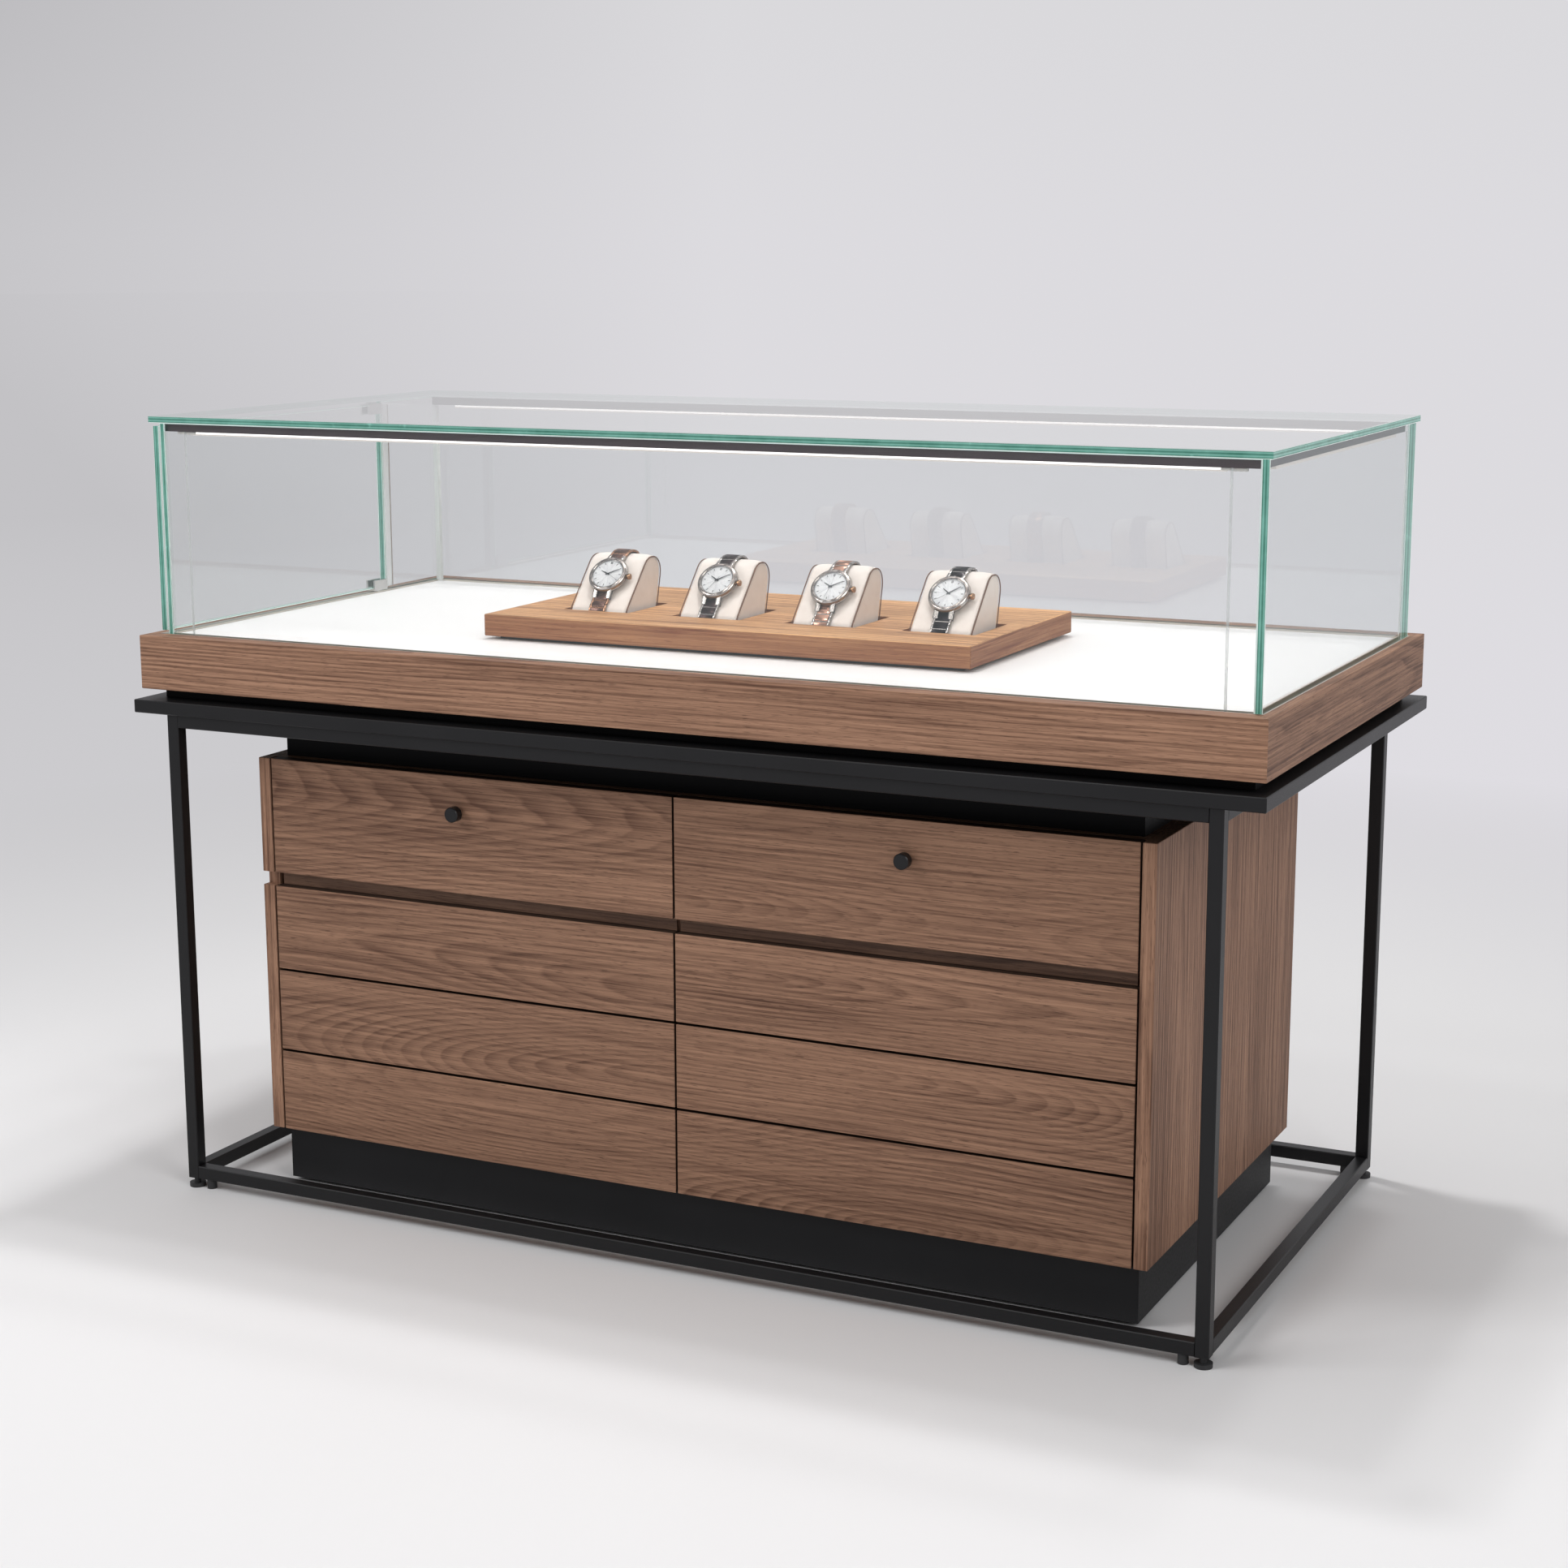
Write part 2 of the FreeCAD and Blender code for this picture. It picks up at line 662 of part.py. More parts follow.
def make_door():
    """The door pane, notched for a patch fitting at the foot and head of its pivot edge."""
    pane = box("door_pane", "-glass_half_length", "-glass_half_depth", "door_bottom",
               "glass_thickness", "door_length", "door_top - door_bottom")
    notches = []
    for name, z in (("foot", "door_bottom - overrun"), ("head", "door_top - patch_notch_height")):
        notches.append(box(f"door_notch_{name}", "-glass_half_length - overrun",
                           "door_back - patch_notch_length", z, "glass_thickness + 2 * overrun",
                           "patch_notch_length + overrun", "patch_notch_height + overrun"))
    subpart(cut("door_glass", pane, *notches))
    patches = []
    for name, z in (("foot", "patch_foot"), ("head", "patch_head - patch_height")):
        block = box(f"patch_{name}_block", "pivot_x - patch_half_width", "door_back - patch_length", z,
                    "2 * patch_half_width", "patch_length", "patch_height")
        seat = cut(f"patch_{name}_seat",
                   box(f"patch_{name}_gap", "pivot_x - slot_width / 2", "-glass_half_depth",
                       "door_bottom - glass_clearance", "slot_width", "door_length + overrun",
                       "door_top - door_bottom + 2 * glass_clearance"),
                   box(f"patch_{name}_heel", "pivot_x - slot_width",
                       "door_back - patch_notch_length + glass_clearance",
                       "door_bottom - overrun" if name == "foot"
                       else "door_top - patch_notch_height + glass_clearance",
                       "2 * slot_width", "patch_notch_length + 2 * overrun",
                       "patch_notch_height + overrun - glass_clearance"))
        patches.append((name, block, seat))
    (_, foot_block, foot_seat), (_, head_block, head_seat) = patches
    pin = cylinder("door_pin", "pivot_x", "pivot_y", "band_top - bearing_depth + pivot_gap",
                   "pivot_radius", "patch_foot - band_top + bearing_depth - pivot_gap + patch_sole")
    lower = fuse("door_patch_foot", cut("patch_foot_body", foot_block, foot_seat), pin)
    bore = cylinder("door_patch_bore", "pivot_x", "pivot_y", "patch_head - head_pin_length",
                    "pivot_radius + pivot_clearance", "head_pin_length + overrun")
    upper = cut("door_patch_head", head_block, head_seat, bore)
    subpart(group("door_pivots", lower, upper))
    shell = fuse("bearing_shell",
                 cylinder("bearing_barrel", "pivot_x", "pivot_y", "band_top - bearing_depth",
                          "bearing_radius", "bearing_depth"),
                 cylinder("bearing_flange_disc", "pivot_x", "pivot_y", "band_top",
                          "bearing_flange_radius", "bearing_flange"))
    lower_bearing = cut("pivot_bearing_foot", shell,
                        cylinder("bearing_bore", "pivot_x", "pivot_y",
                                 "band_top - bearing_depth - overrun",
                                 "pivot_radius + pivot_clearance", "bearing_depth + 2 * overrun"))
    upper_bearing = fuse("pivot_bearing_head",
                         cylinder("head_plate", "pivot_x", "pivot_y",
                                  "glass_wall_top - head_plate_thickness",
                                  "head_plate_radius", "head_plate_thickness"),
                         cylinder("head_pin", "pivot_x", "pivot_y",
                                  "patch_head - head_pin_length + pivot_gap", "pivot_radius",
                                  "glass_wall_top - patch_head + head_pin_length - pivot_gap"))
    subpart(group("pivot_bearings", lower_bearing, upper_bearing))


def light_bar(name, x, y, length, width, runs_along_x):
    """A light profile under the top glass, and the diffuser strip set in its slot."""
    profile = box(name + "_blank", x, y, "led_bottom", length, width, "led_height")
    if runs_along_x:
        strip_x = f"{x} + led_dark_end"
        strip_y = f"{y} + (led_width - led_slot_width) / 2"
        strip = (f"{length} - 2 * led_dark_end", "led_slot_width")
    else:
        strip_x = f"{x} + (led_width - led_slot_width) / 2"
        strip_y = f"{y} + led_dark_end"
        strip = ("led_slot_width", f"{width} - 2 * led_dark_end")
    slot = box(name + "_slot", strip_x, strip_y, "led_bottom - overrun", *strip,
               "led_slot_depth + overrun")
    diffuser = box(name + "_diffuser", strip_x, strip_y, "led_bottom - led_diffuser_drop", *strip,
                   "led_slot_depth + led_diffuser_drop")
    return cut(name, profile, slot), diffuser


def make_lights():
    bars = [
        light_bar("light_front", "-led_half_length", "-glass_inner_half_depth",
                  "2 * led_half_length", "led_width", True),
        light_bar("light_back", "-led_half_length", "glass_inner_half_depth - led_width",
                  "2 * led_half_length", "led_width", True),
        light_bar("light_right", "glass_inner_half_length - led_width", "-led_half_depth",
                  "led_width", "2 * led_half_depth", False),
    ]
    subpart(group("led_profiles", *[profile for profile, _ in bars]))
    subpart(group("led_diffusers", *[diffuser for _, diffuser in bars]))


# Cabinet


def hollow_box(name, y, z, length, depth, height):
    """A closed box of panels, empty inside."""
    outside = centred_box(name + "_outside", "0", y, z, length, depth, height)
    inside = centred_box(name + "_inside", "0", y, f"{z} + panel_thickness",
                         f"{length} - 2 * panel_thickness", f"{depth} - 2 * panel_thickness",
                         f"{height} - 2 * panel_thickness")
    return cut(name, outside, inside)


def make_cabinet():
    height = "cabinet_top - plinth_top"
    left_blank = box("side_left_blank", "-cabinet_length / 2", "cabinet_front", "plinth_top",
                     "panel_thickness", "cabinet_depth", height)
    left_groove = box("side_left_groove", "-cabinet_length / 2 - overrun",
                      "cabinet_front - overrun", "groove_bottom", "panel_thickness + 2 * overrun",
                      "groove_recess + overrun", "groove_height")
    subpart(cut("cabinet_side_left", eased("side_left_board", left_blank, "wood_edge"), left_groove))
    right = box("side_right_blank", "cabinet_half", "cabinet_front", "plinth_top",
                "panel_thickness", "cabinet_depth", height)
    subpart(eased("cabinet_side_right", right, "wood_edge"))
    depth = "cabinet_rear - back_thickness - carcass_front"
    subpart(box("cabinet_top_panel", "-cabinet_half", "carcass_front", "cabinet_top - panel_thickness",
                "2 * cabinet_half", depth, "panel_thickness"))
    subpart(box("cabinet_bottom_panel", "-cabinet_half", "carcass_front", "plinth_top",
                "2 * cabinet_half", depth, "panel_thickness"))
    subpart(box("cabinet_back_panel", "-cabinet_half", "cabinet_rear - back_thickness", "plinth_top",
                "2 * cabinet_half", "back_thickness", height))
    subpart(box("cabinet_partition", "-panel_thickness / 2", "carcass_front",
                "plinth_top + panel_thickness", "panel_thickness", depth,
                "cabinet_top - plinth_top - 2 * panel_thickness"))
    subpart(hollow_box("neck_riser", "cabinet_shift", "cabinet_top", "neck_length", "neck_depth",
                       "(ring_top - cabinet_top)"))
    subpart(hollow_box("plinth", "cabinet_shift", "plinth_foot_height", "plinth_length", "plinth_depth",
                       "plinth_height"))


def make_grip_rails():
    """A shelf rail behind the finger groove of each bay, notched at its outer front corner
    and lipped over the edge of the partition."""
    rails = []
    front = "cabinet_front + groove_recess"
    for side_name, side in SIDES.items():
        corners = (
            (f"{side} * front_centre_gap", front),
            (f"{side} * (cabinet_half - groove_side_notch)", front),
            (f"{side} * (cabinet_half - groove_side_notch)", f"{front} + groove_recess"),
            (f"{side} * cabinet_half", f"{front} + groove_recess"),
            (f"{side} * cabinet_half", f"{front} + rail_depth"),
            (f"{side} * panel_thickness / 2", f"{front} + rail_depth"),
            (f"{side} * panel_thickness / 2", "carcass_front"),
            (f"{side} * front_centre_gap", "carcass_front"),
        )
        rail = prism(f"grip_rail_{side_name}", corners, "groove_height - 2 * rail_gap")
        put(rail, "0", "0", "groove_bottom + rail_gap")
        rails.append(rail)
    subpart(group("grip_rails", *rails))


# Drawers


def tongue_bottom(row):
    return f"row_{row}_bottom + drawer_bottom_gap + tongue_drop"


def make_drawer(row, side_name, side):
    """A drawer: its wood front, and a tray-like box with a runner tongue on each side."""
    name = f"row_{row}_{side_name}"
    bottom = f"row_{row}_bottom"
    front = box(f"front_blank_{name}", beside(side, "front_centre_gap / 2", "front_width"),
                "cabinet_front", bottom, "front_width", "front_thickness", f"row_{row}_front")
    subpart(eased(f"drawer_front_{name}", front, "wood_edge"))
    x = beside(side, "drawer_near", "drawer_width")
    z = f"{bottom} + drawer_bottom_gap"
    height = f"row_{row}_front - drawer_bottom_gap - drawer_top_gap"
    outside = box(f"box_outside_{name}", x, "front_rear_face", z, "drawer_width", "drawer_depth", height)
    inside = box(f"box_inside_{name}", f"{x} + drawer_wall", "front_rear_face + drawer_wall",
                 f"{z} + drawer_floor", "drawer_width - 2 * drawer_wall",
                 "drawer_depth - 2 * drawer_wall", height)
    tongue_y = "drawer_rear - runner_length"
    low = box(f"tongue_low_{name}", f"{x} - tongue_width", tongue_y, tongue_bottom(row),
              "tongue_width", "runner_length", "tongue_height")
    high = box(f"tongue_high_{name}", f"{x} + drawer_width", tongue_y, tongue_bottom(row),
               "tongue_width", "runner_length", "tongue_height")
    subpart(fuse(f"drawer_box_{name}", cut(f"box_shell_{name}", outside, inside), low, high))


def make_runners():
    """A C-shaped runner on each wall of each bay, one pair for each drawer."""
    runners = []
    y = "drawer_rear - runner_length"
    for row in ROWS:
        z = f"{tongue_bottom(row)} - slide_gap - runner_wall"
        for side_name, side in SIDES.items():
            for wall, near in (("inner", "panel_thickness / 2"), ("outer", "cabinet_half - runner_depth")):
                x = beside(side, near, "runner_depth")
                name = f"runner_{row}_{side_name}_{wall}"
                opens_up_x = (side > 0) == (wall == "inner")
                slot_x = f"{x} + runner_wall" if opens_up_x else f"{x} - overrun"
                bar = box(name + "_bar", x, y, z, "runner_depth", "runner_length", "runner_height")
                slot = box(name + "_slot", slot_x, f"{y} - overrun", f"{z} + runner_wall",
                           "runner_depth - runner_wall + overrun", "runner_length + 2 * overrun",
                           "runner_height - 2 * runner_wall")
                runners.append(cut(name, bar, slot))
    subpart(group("drawer_runners", *runners))


def make_latches():
    """Push latches on the back panel, behind the two lowest drawers of each bay."""
    latches = []
    panel_face = "cabinet_rear - back_thickness"
    for row in ("three", "four"):
        for side_name, side in SIDES.items():
            x = f"{side} * (panel_thickness + bay_width) / 2"
            z = f"row_{row}_bottom + row_{row}_front / 2"
            name = f"latch_{row}_{side_name}"
            body = centred_box(name + "_body", x, f"{panel_face} - latch_body / 2",
                               f"{z} - latch_size / 2", "latch_size", "latch_body", "latch_size")
            plunger = faceted_post(name + "_plunger", 12, x, "drawer_rear + slide_gap", z,
                                   "latch_plunger_radius", "drawer_rear_space - latch_body - slide_gap")
            plunger.Placement.Rotation = Rotation(Vector(1, 0, 0), -90)
            latches.append(fuse(name, body, plunger))
    subpart(group("push_latches", *latches))


def make_knob(side_name, side):
    """A turned knob: a slim neck on the front, and a round head with bevelled edges."""
    knob = turned(f"knob_{side_name}", (
        ("0", "0"),
        ("knob_neck_radius", "0"),
        ("knob_neck_radius", "knob_neck_length"),
        ("knob_radius - knob_bevel", "knob_neck_length"),
        ("knob_radius", "knob_neck_length + knob_bevel"),
        ("knob_radius", "knob_length - knob_bevel"),
        ("knob_radius - knob_bevel", "knob_length"),
        ("0", "knob_length"),
    ))
    knob.Placement.Rotation = Rotation(Vector(1, 0, 0), 90)
    place = f"{side} * (front_centre_gap / 2 + front_width / 2 + knob_shift)"
    put(knob, place, "cabinet_front", "cabinet_top - knob_drop")
    subpart(knob)


# Tray and cushions


def watch_x(number):
    """Centre of a pocket: they are spread evenly over the row, from its left end."""
    return f"pocket_row_left + pocket_row_length * {number - 1} / {len(WATCHES) - 1}"


def make_tray():
    subpart(centred_box("tray_base", "tray_shift", "tray_centre", "deck_top",
                        "tray_length - 2 * tray_base_inset", "tray_depth - 2 * tray_base_inset",
                        "tray_base_height"))
    slab = centred_box("tray_slab", "tray_shift", "tray_centre", "tray_bottom",
                       "tray_length", "tray_depth", "tray_thickness")
    pockets = []
    for number in WATCHES:
        pockets.append(box(f"tray_pocket_{number}", f"{watch_x(number)} - pocket_length / 2",
                           "pocket_front", "pocket_floor", "pocket_length", "pocket_depth",
                           "pocket_sink + overrun"))
    subpart(cut("tray", eased("tray_board", slab, "tray_edge"), *pockets))


# Flat sides in each rounded corner of a cushion's profile
CORNER_SIDES = 5


def rounded_wire(corners):
    """A closed wire in the YZ plane through corners given as (y, z, radius), rounded in short flat sides."""
    points = [Vector(0, y, z) for y, z, _ in corners]
    path = []
    for index, (_, _, radius) in enumerate(corners):
        here = points[index]
        back = (points[index - 1] - here).normalize()
        ahead = (points[(index + 1) % len(points)] - here).normalize()
        half_angle = back.getAngle(ahead) / 2
        bisector = (back + ahead).normalize()
        start = here + back * (radius / math.tan(half_angle))
        end = here + ahead * (radius / math.tan(half_angle))
        middle = here + bisector * (radius / math.sin(half_angle) - radius)
        path.extend(Part.Arc(start, middle, end).toShape().discretize(Number=CORNER_SIDES + 1))
    return Part.makePolygon(path + path[:1])


def cushion_sole():
    return size("cushion_gap") - size("pocket_sink")


def cushion_corners(scale_share, raised):
    """The cushion's D-shaped profile as (y, z, radius) corners.

    It is swollen or drawn in by a share, and its sole lies raised by a height.
    """
    middle = size("cushion_base_depth") / 2
    sole = cushion_sole()
    lean = (size("cushion_reach") - size("cushion_base_depth")) / (size("cushion_rise") - sole)
    corners = (
        (0, sole + raised, size("cushion_foot_radius")),
        (0, 0, size("cushion_knee_radius")),
        (size("cushion_slope"), size("cushion_rise"), size("cushion_brow_radius")),
        (size("cushion_reach"), size("cushion_rise"), size("cushion_back_radius")),
        (size("cushion_base_depth") + lean * raised, sole + raised, size("cushion_foot_radius")),
    )
    scaled = []
    for y, z, radius in corners:
        scaled.append((middle + (y - middle) * scale_share,
                       sole + (z - sole) * scale_share,
                       radius * scale_share))
    return scaled


# Place across the half width, and size there, as shares of the cushion's own
CUSHION_SHARES = ((-1, 0.93), (-0.96, 0.98), (-0.86, 1), (0, 1.015), (0.86, 1), (0.96, 0.98), (1, 0.93))
# Size of the loop that the strap is closed round, as a share of the cushion's profile
SNUG_SHARE = 1.02


def snug_wire():
    """The profile that the strap lies against, raised off the sole by the strap channel."""
    return rounded_wire(cushion_corners(SNUG_SHARE, size("strap_channel_depth")))


def cushion_shape():
    """A crowned pillow, drawn in at its sides, with a strap channel round its sole."""
    half_width = size("cushion_width") / 2
    sections = []
    for place_share, scale_share in CUSHION_SHARES:
        wire = rounded_wire(cushion_corners(scale_share, 0))
        wire.translate(Vector(place_share * half_width, 0, 0))
        sections.append(wire)
    pillow = Part.makeLoft(sections, True, True)
    width = size("strap_channel_width")
    over = size("overrun")
    depth = size("strap_channel_depth") + size("cushion_foot_radius")
    block = Part.makeBox(width, size("cushion_reach") + 2 * over, depth + over,
                         Vector(-width / 2, -over, cushion_sole() - over))
    core = Part.Face(snug_wire()).extrude(Vector(width, 0, 0))
    core.translate(Vector(-width / 2, 0, 0))
    return pillow.cut(block.cut(core))


# Watches

# Flat facets round a watch case and round its crown
CASE_SIDES = 30
CROWN_SIDES = 12


def strap_path():
    """A closed chain of points round the cushion, along the middle of the links."""
    snug = snug_wire()
    points = snug.discretize(Number=int(snug.Length))[:-1]
    middle = snug.CenterOfMass
    lifted = []
    for index, point in enumerate(points):
        heading = points[(index + 1) % len(points)] - points[index - 1]
        outward = Vector(0, heading.z, -heading.y).normalize()
        if outward.dot(point - middle) < 0:
            outward = -outward
        lifted.append(point + outward * (size("strap_gap") + size("link_thickness") / 2))
    return lifted


# Place of the watch up the slope, as a share of the slope's length
WATCH_PLACE_SHARE = 0.56


def slope_frame():
    """Where the watch lies: a point on the cushion's slope, the slope's direction, its normal."""
    knee, brow = cushion_corners(SNUG_SHARE, size("strap_channel_depth"))[1:3]
    low = Vector(0, knee[0], knee[1])
    high = Vector(0, brow[0], brow[1])
    along = (high - low).normalize()
    normal = Vector(0, -along.z, along.y)
    return low + (high - low) * WATCH_PLACE_SHARE, along, normal


def walk(points, start, distance):
    """The point and heading a distance along a closed chain of points from one of them."""
    index = start
    left = abs(distance)
    step = 1 if distance > 0 else -1
    while True:
        here = points[index % len(points)]
        there = points[(index + step) % len(points)]
        gap = (there - here).Length
        if left <= gap:
            heading = (there - here).normalize()
            return here + heading * left, heading
        left -= gap
        index += step


def link(point, heading, low_x, width):
    """One link of the bracelet, lying along the heading from low_x to low_x + width."""
    across = Vector(1, 0, 0)
    length = size("link_length")
    thickness = size("link_thickness")
    block = Part.makeBox(width, length, thickness, Vector(low_x, -length / 2, -thickness / 2))
    block.Placement = Placement(point, Rotation(across, heading, across.cross(heading), "XYZ"))
    return block


def polygon_ring(radius, height, sides):
    """A regular polygon about Z, with its corners on the radius."""
    points = []
    for index in range(sides + 1):
        turn = 2 * math.pi * (index % sides) / sides
        points.append(Vector(radius * math.cos(turn), radius * math.sin(turn), height))
    return Part.makePolygon(points)


def faceted(corners, sides):
    """A closed solid about Z through (radius, height) pairs, with flat facets all round."""
    return Part.makeLoft([polygon_ring(radius, height, sides) for radius, height in corners], True, True)


def watch_head():
    """Case with lugs, bezel, dial and crown, in a frame whose Z is the face's normal."""
    radius = size("case_radius")
    height = size("case_height")
    inner = radius - size("bezel_width")
    lift = size("strap_gap")
    rise = size("bezel_rise")
    top = lift + height
    shoulder = radius - size("bezel_width") / 3
    case = faceted((
        (size("case_foot_radius"), lift),
        (radius, lift + height / 3),
        (radius, lift + height * 2 / 3),
        (shoulder, top),
    ), CASE_SIDES)
    case = case.cut(faceted(((inner, top - rise), (inner, top)), CASE_SIDES))
    bezel = faceted(((shoulder, top), (shoulder - rise, top + rise)), CASE_SIDES)
    bezel = bezel.cut(faceted(((inner, top), (inner, top + rise)), CASE_SIDES))
    dial = faceted(((inner, top - rise), (inner, top - rise + size("dial_thickness"))), CASE_SIDES)
    across = Rotation(Vector(0, 1, 0), 90)
    stem = faceted(((size("crown_stem_radius"), 0),
                    (size("crown_stem_radius"), size("crown_stem_length") + rise)), CROWN_SIDES)
    stem.Placement = Placement(Vector(radius - rise, 0, lift + height / 2), across)
    crown = faceted(((size("crown_radius"), 0), (size("crown_radius"), size("crown_length"))), CROWN_SIDES)
    crown.Placement = Placement(Vector(radius + size("crown_stem_length"), 0, lift + height / 2), across)
    body = case.fuse([stem])
    for side in (-1, 1):
        for end in (-1, 1):
            body = body.fuse([lug(side, end, lift, height)])
    return [body, bezel, dial, crown]


def lug(side, end, lift, height):
    """A tapered lug from the case's flank down to the first link."""
    radius = size("case_radius")
    near = radius * math.cos(math.asin(size("lug_spread") / radius)) - size("bezel_width")
    far = radius + size("lug_reach")
    corners = (
        (near, lift + height / 3),
        (far, lift),
        (far, lift + size("link_thickness")),
        (near, lift + height * 2 / 3),
    )
    low_x = side * size("lug_spread") - size("lug_width") / 2
    points = [Vector(low_x, end * y, z) for y, z in corners]
    face = Part.Face(Part.makePolygon(points + [points[0]]))
    return face.extrude(Vector(size("lug_width"), 0, 0))


def watch_shape():
    """A watch with its bracelet closed round the cushion, the middle links half a pitch ahead."""
    centre, along, normal = slope_frame()
    turn = Rotation(Vector(1, 0, 0), along, normal, "XYZ")
    solids = []
    for solid in watch_head():
        solid.Placement = Placement(centre, turn).multiply(solid.Placement)
        solids.append(solid)
    points = strap_path()
    start = min(range(len(points)), key=lambda index: (points[index] - centre).Length)
    if (points[(start + 1) % len(points)] - points[start]).dot(along) < 0:
        points.reverse()
        start = len(points) - 1 - start
    first = size("case_radius") + size("lug_reach")
    around = sum((points[index] - points[index - 1]).Length for index in range(len(points)))
    free = around - 2 * first
    count = round(free / size("link_pitch"))
    pitch = free / count
    half = size("link_centre_width") / 2
    for index in range(count):
        point, heading = walk(points, start, first + pitch * (index + 1 / 2))
        for low_x in (-half - size("link_end_width"), half):
            solids.append(link(point, heading, low_x, size("link_end_width")))
    for index in range(count + 1):
        point, heading = walk(points, start, first + pitch * index)
        solids.append(link(point, heading, -half, 2 * half))
    return Part.makeCompound(solids)


def make_cushions():
    pillow = cushion_shape()
    watch = watch_shape()
    for number in WATCHES:
        for name, shape in ((f"cushion_{number}", pillow), (f"watch_{number}", watch)):
            piece = doc.addObject("Part::Feature", name)
            piece.Shape = shape
            put(piece, watch_x(number), "cushion_front", "tray_top")
            subpart(piece)


make_frame()
make_feet()
make_band()
make_deck()
make_channel()
make_glass()
make_door()
make_lights()
make_cabinet()
make_grip_rails()
for row_name in ROWS:
    for side_label, side_sign in SIDES.items():
        make_drawer(row_name, side_label, side_sign)
make_runners()
make_latches()
for side_label, side_sign in SIDES.items():
    make_knob(side_label, side_sign)
make_tray()
make_cushions()

# Rebuild, check every object, and write one file for each sub-part

doc.recompute()
failed = [thing.Name for thing in doc.Objects if "Invalid" in thing.State or "Error" in thing.State]
if failed:
    raise RuntimeError("failed objects: " + ", ".join(failed))
for piece in subparts:
    if piece.Shape.isNull() or not piece.Shape.isValid():
        raise RuntimeError("bad shape: " + piece.Label)
    if not piece.Shape.Solids:
        raise RuntimeError("no solid: " + piece.Label)

os.makedirs("parts", exist_ok=True)
for piece in subparts:
    piece.Shape.exportStep(f"parts/{piece.Label}.step")
print(len(subparts), "sub-parts,", sum(len(piece.Shape.Solids) for piece in subparts), "solids")
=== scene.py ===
# %% [markdown]
# # Dressing a glass-topped watch island
#
# The island was built first as an assembly of separate pieces, with its sizes and its joints. That
# model is the fixed frame here. This lesson gives the frame its finishes, and swaps the soft and
# fine pieces for richer ones: four suede cushions, and the four watches that they hold.
#
# Everything is in metres, in the frame of the model: +X runs along the long side, the drawers look
# toward -Y, and +Z is up.

# %% Load the frame
import math

import bmesh
import bpy
from mathutils import Matrix, Vector
from mathutils.kdtree import KDTree


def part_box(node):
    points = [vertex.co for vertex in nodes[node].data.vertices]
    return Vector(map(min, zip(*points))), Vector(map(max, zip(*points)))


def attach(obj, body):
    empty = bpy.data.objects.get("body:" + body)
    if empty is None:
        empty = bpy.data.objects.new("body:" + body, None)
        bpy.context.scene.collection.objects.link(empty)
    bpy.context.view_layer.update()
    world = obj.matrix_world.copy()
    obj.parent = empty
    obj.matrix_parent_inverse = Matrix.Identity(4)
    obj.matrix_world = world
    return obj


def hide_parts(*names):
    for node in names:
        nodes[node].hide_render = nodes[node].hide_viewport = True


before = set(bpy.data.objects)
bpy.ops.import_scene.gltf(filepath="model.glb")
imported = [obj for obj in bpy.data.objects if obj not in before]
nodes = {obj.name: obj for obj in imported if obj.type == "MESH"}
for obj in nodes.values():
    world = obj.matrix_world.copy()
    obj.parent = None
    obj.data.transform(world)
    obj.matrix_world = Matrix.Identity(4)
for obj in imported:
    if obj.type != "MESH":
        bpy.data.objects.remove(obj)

scene = bpy.context.scene
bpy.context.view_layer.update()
MM = 0.001

# %% [markdown]
# ## The camera
#
# The photograph was taken from in front of the island and beyond its right end, 1.16 m above the
# floor. A camera fitted to the island's corners gives the direction, the distance and the lens.
# A camera can be aimed with a constraint, but a plain matrix keeps it where it is in every other
# view too.

# %% Camera
EYE = (1.444, -2.944, 1.160)
TURNS = ((26.05, "Z"), (78.74, "X"), (-0.18, "Z"))
LENS, SENSOR = 63.04, 36


def added(name, data):
    """A new object of the scene."""
    thing = bpy.data.objects.new(name, data)
    scene.collection.objects.link(thing)
    return thing


camera_data = bpy.data.cameras.new("photograph_view")
camera_data.lens = LENS
camera_data.sensor_width = SENSOR
camera = added("photograph_view", camera_data)
aim = Matrix.Translation(EYE)
for degrees, axis in TURNS:
    aim = aim @ Matrix.Rotation(math.radians(degrees), 4, axis)
camera.matrix_world = aim
scene.camera = camera
print("camera at", tuple(round(value, 3) for value in camera.location))

# %% [markdown]
# ## Sums on a surface
#
# A finish is a small calculation that runs at every point of a surface. Written out node by node
# it is hard to read, so a number that varies over the surface is wrapped in a class, and each
# sign between two such numbers adds one Math node. Any other node comes from one method that
# takes its type, its settings and its sockets.

# %% A number that varies over a surface
def sign(operation, swapped=False):
    """A method that adds the Math node of one sign or function."""
    def method(self, *others):
        numbers = (*others, self) if swapped else (self, *others)
        return self.finish.amount("ShaderNodeMath", {"operation": operation}, dict(enumerate(numbers)))
    return method


class Amount:
    """A number that varies over a surface. Sums on it add Math nodes."""

    def __init__(self, finish, socket):
        self.finish = finish
        self.socket = socket

    __add__ = __radd__ = sign("ADD")
    __sub__, __rsub__ = sign("SUBTRACT"), sign("SUBTRACT", swapped=True)
    __mul__ = __rmul__ = sign("MULTIPLY")
    __truediv__, __rtruediv__ = sign("DIVIDE"), sign("DIVIDE", swapped=True)
    __pow__ = sign("POWER")
    __abs__ = sign("ABSOLUTE")
    above = sign("GREATER_THAN")
    below = sign("LESS_THAN")
    or_more = sign("MAXIMUM")
    fraction = sign("FRACT")
    sine = sign("SINE")
    # x.angle(y) is the angle from the axis of y toward the axis of x, in radians.
    angle = sign("ARCTAN2")

    def between(self, low, high):
        """0 at low, 1 at high, even between them and held outside them."""
        return self.finish.amount("ShaderNodeMapRange", {"clamp": True}, {0: self, 1: low, 2: high})


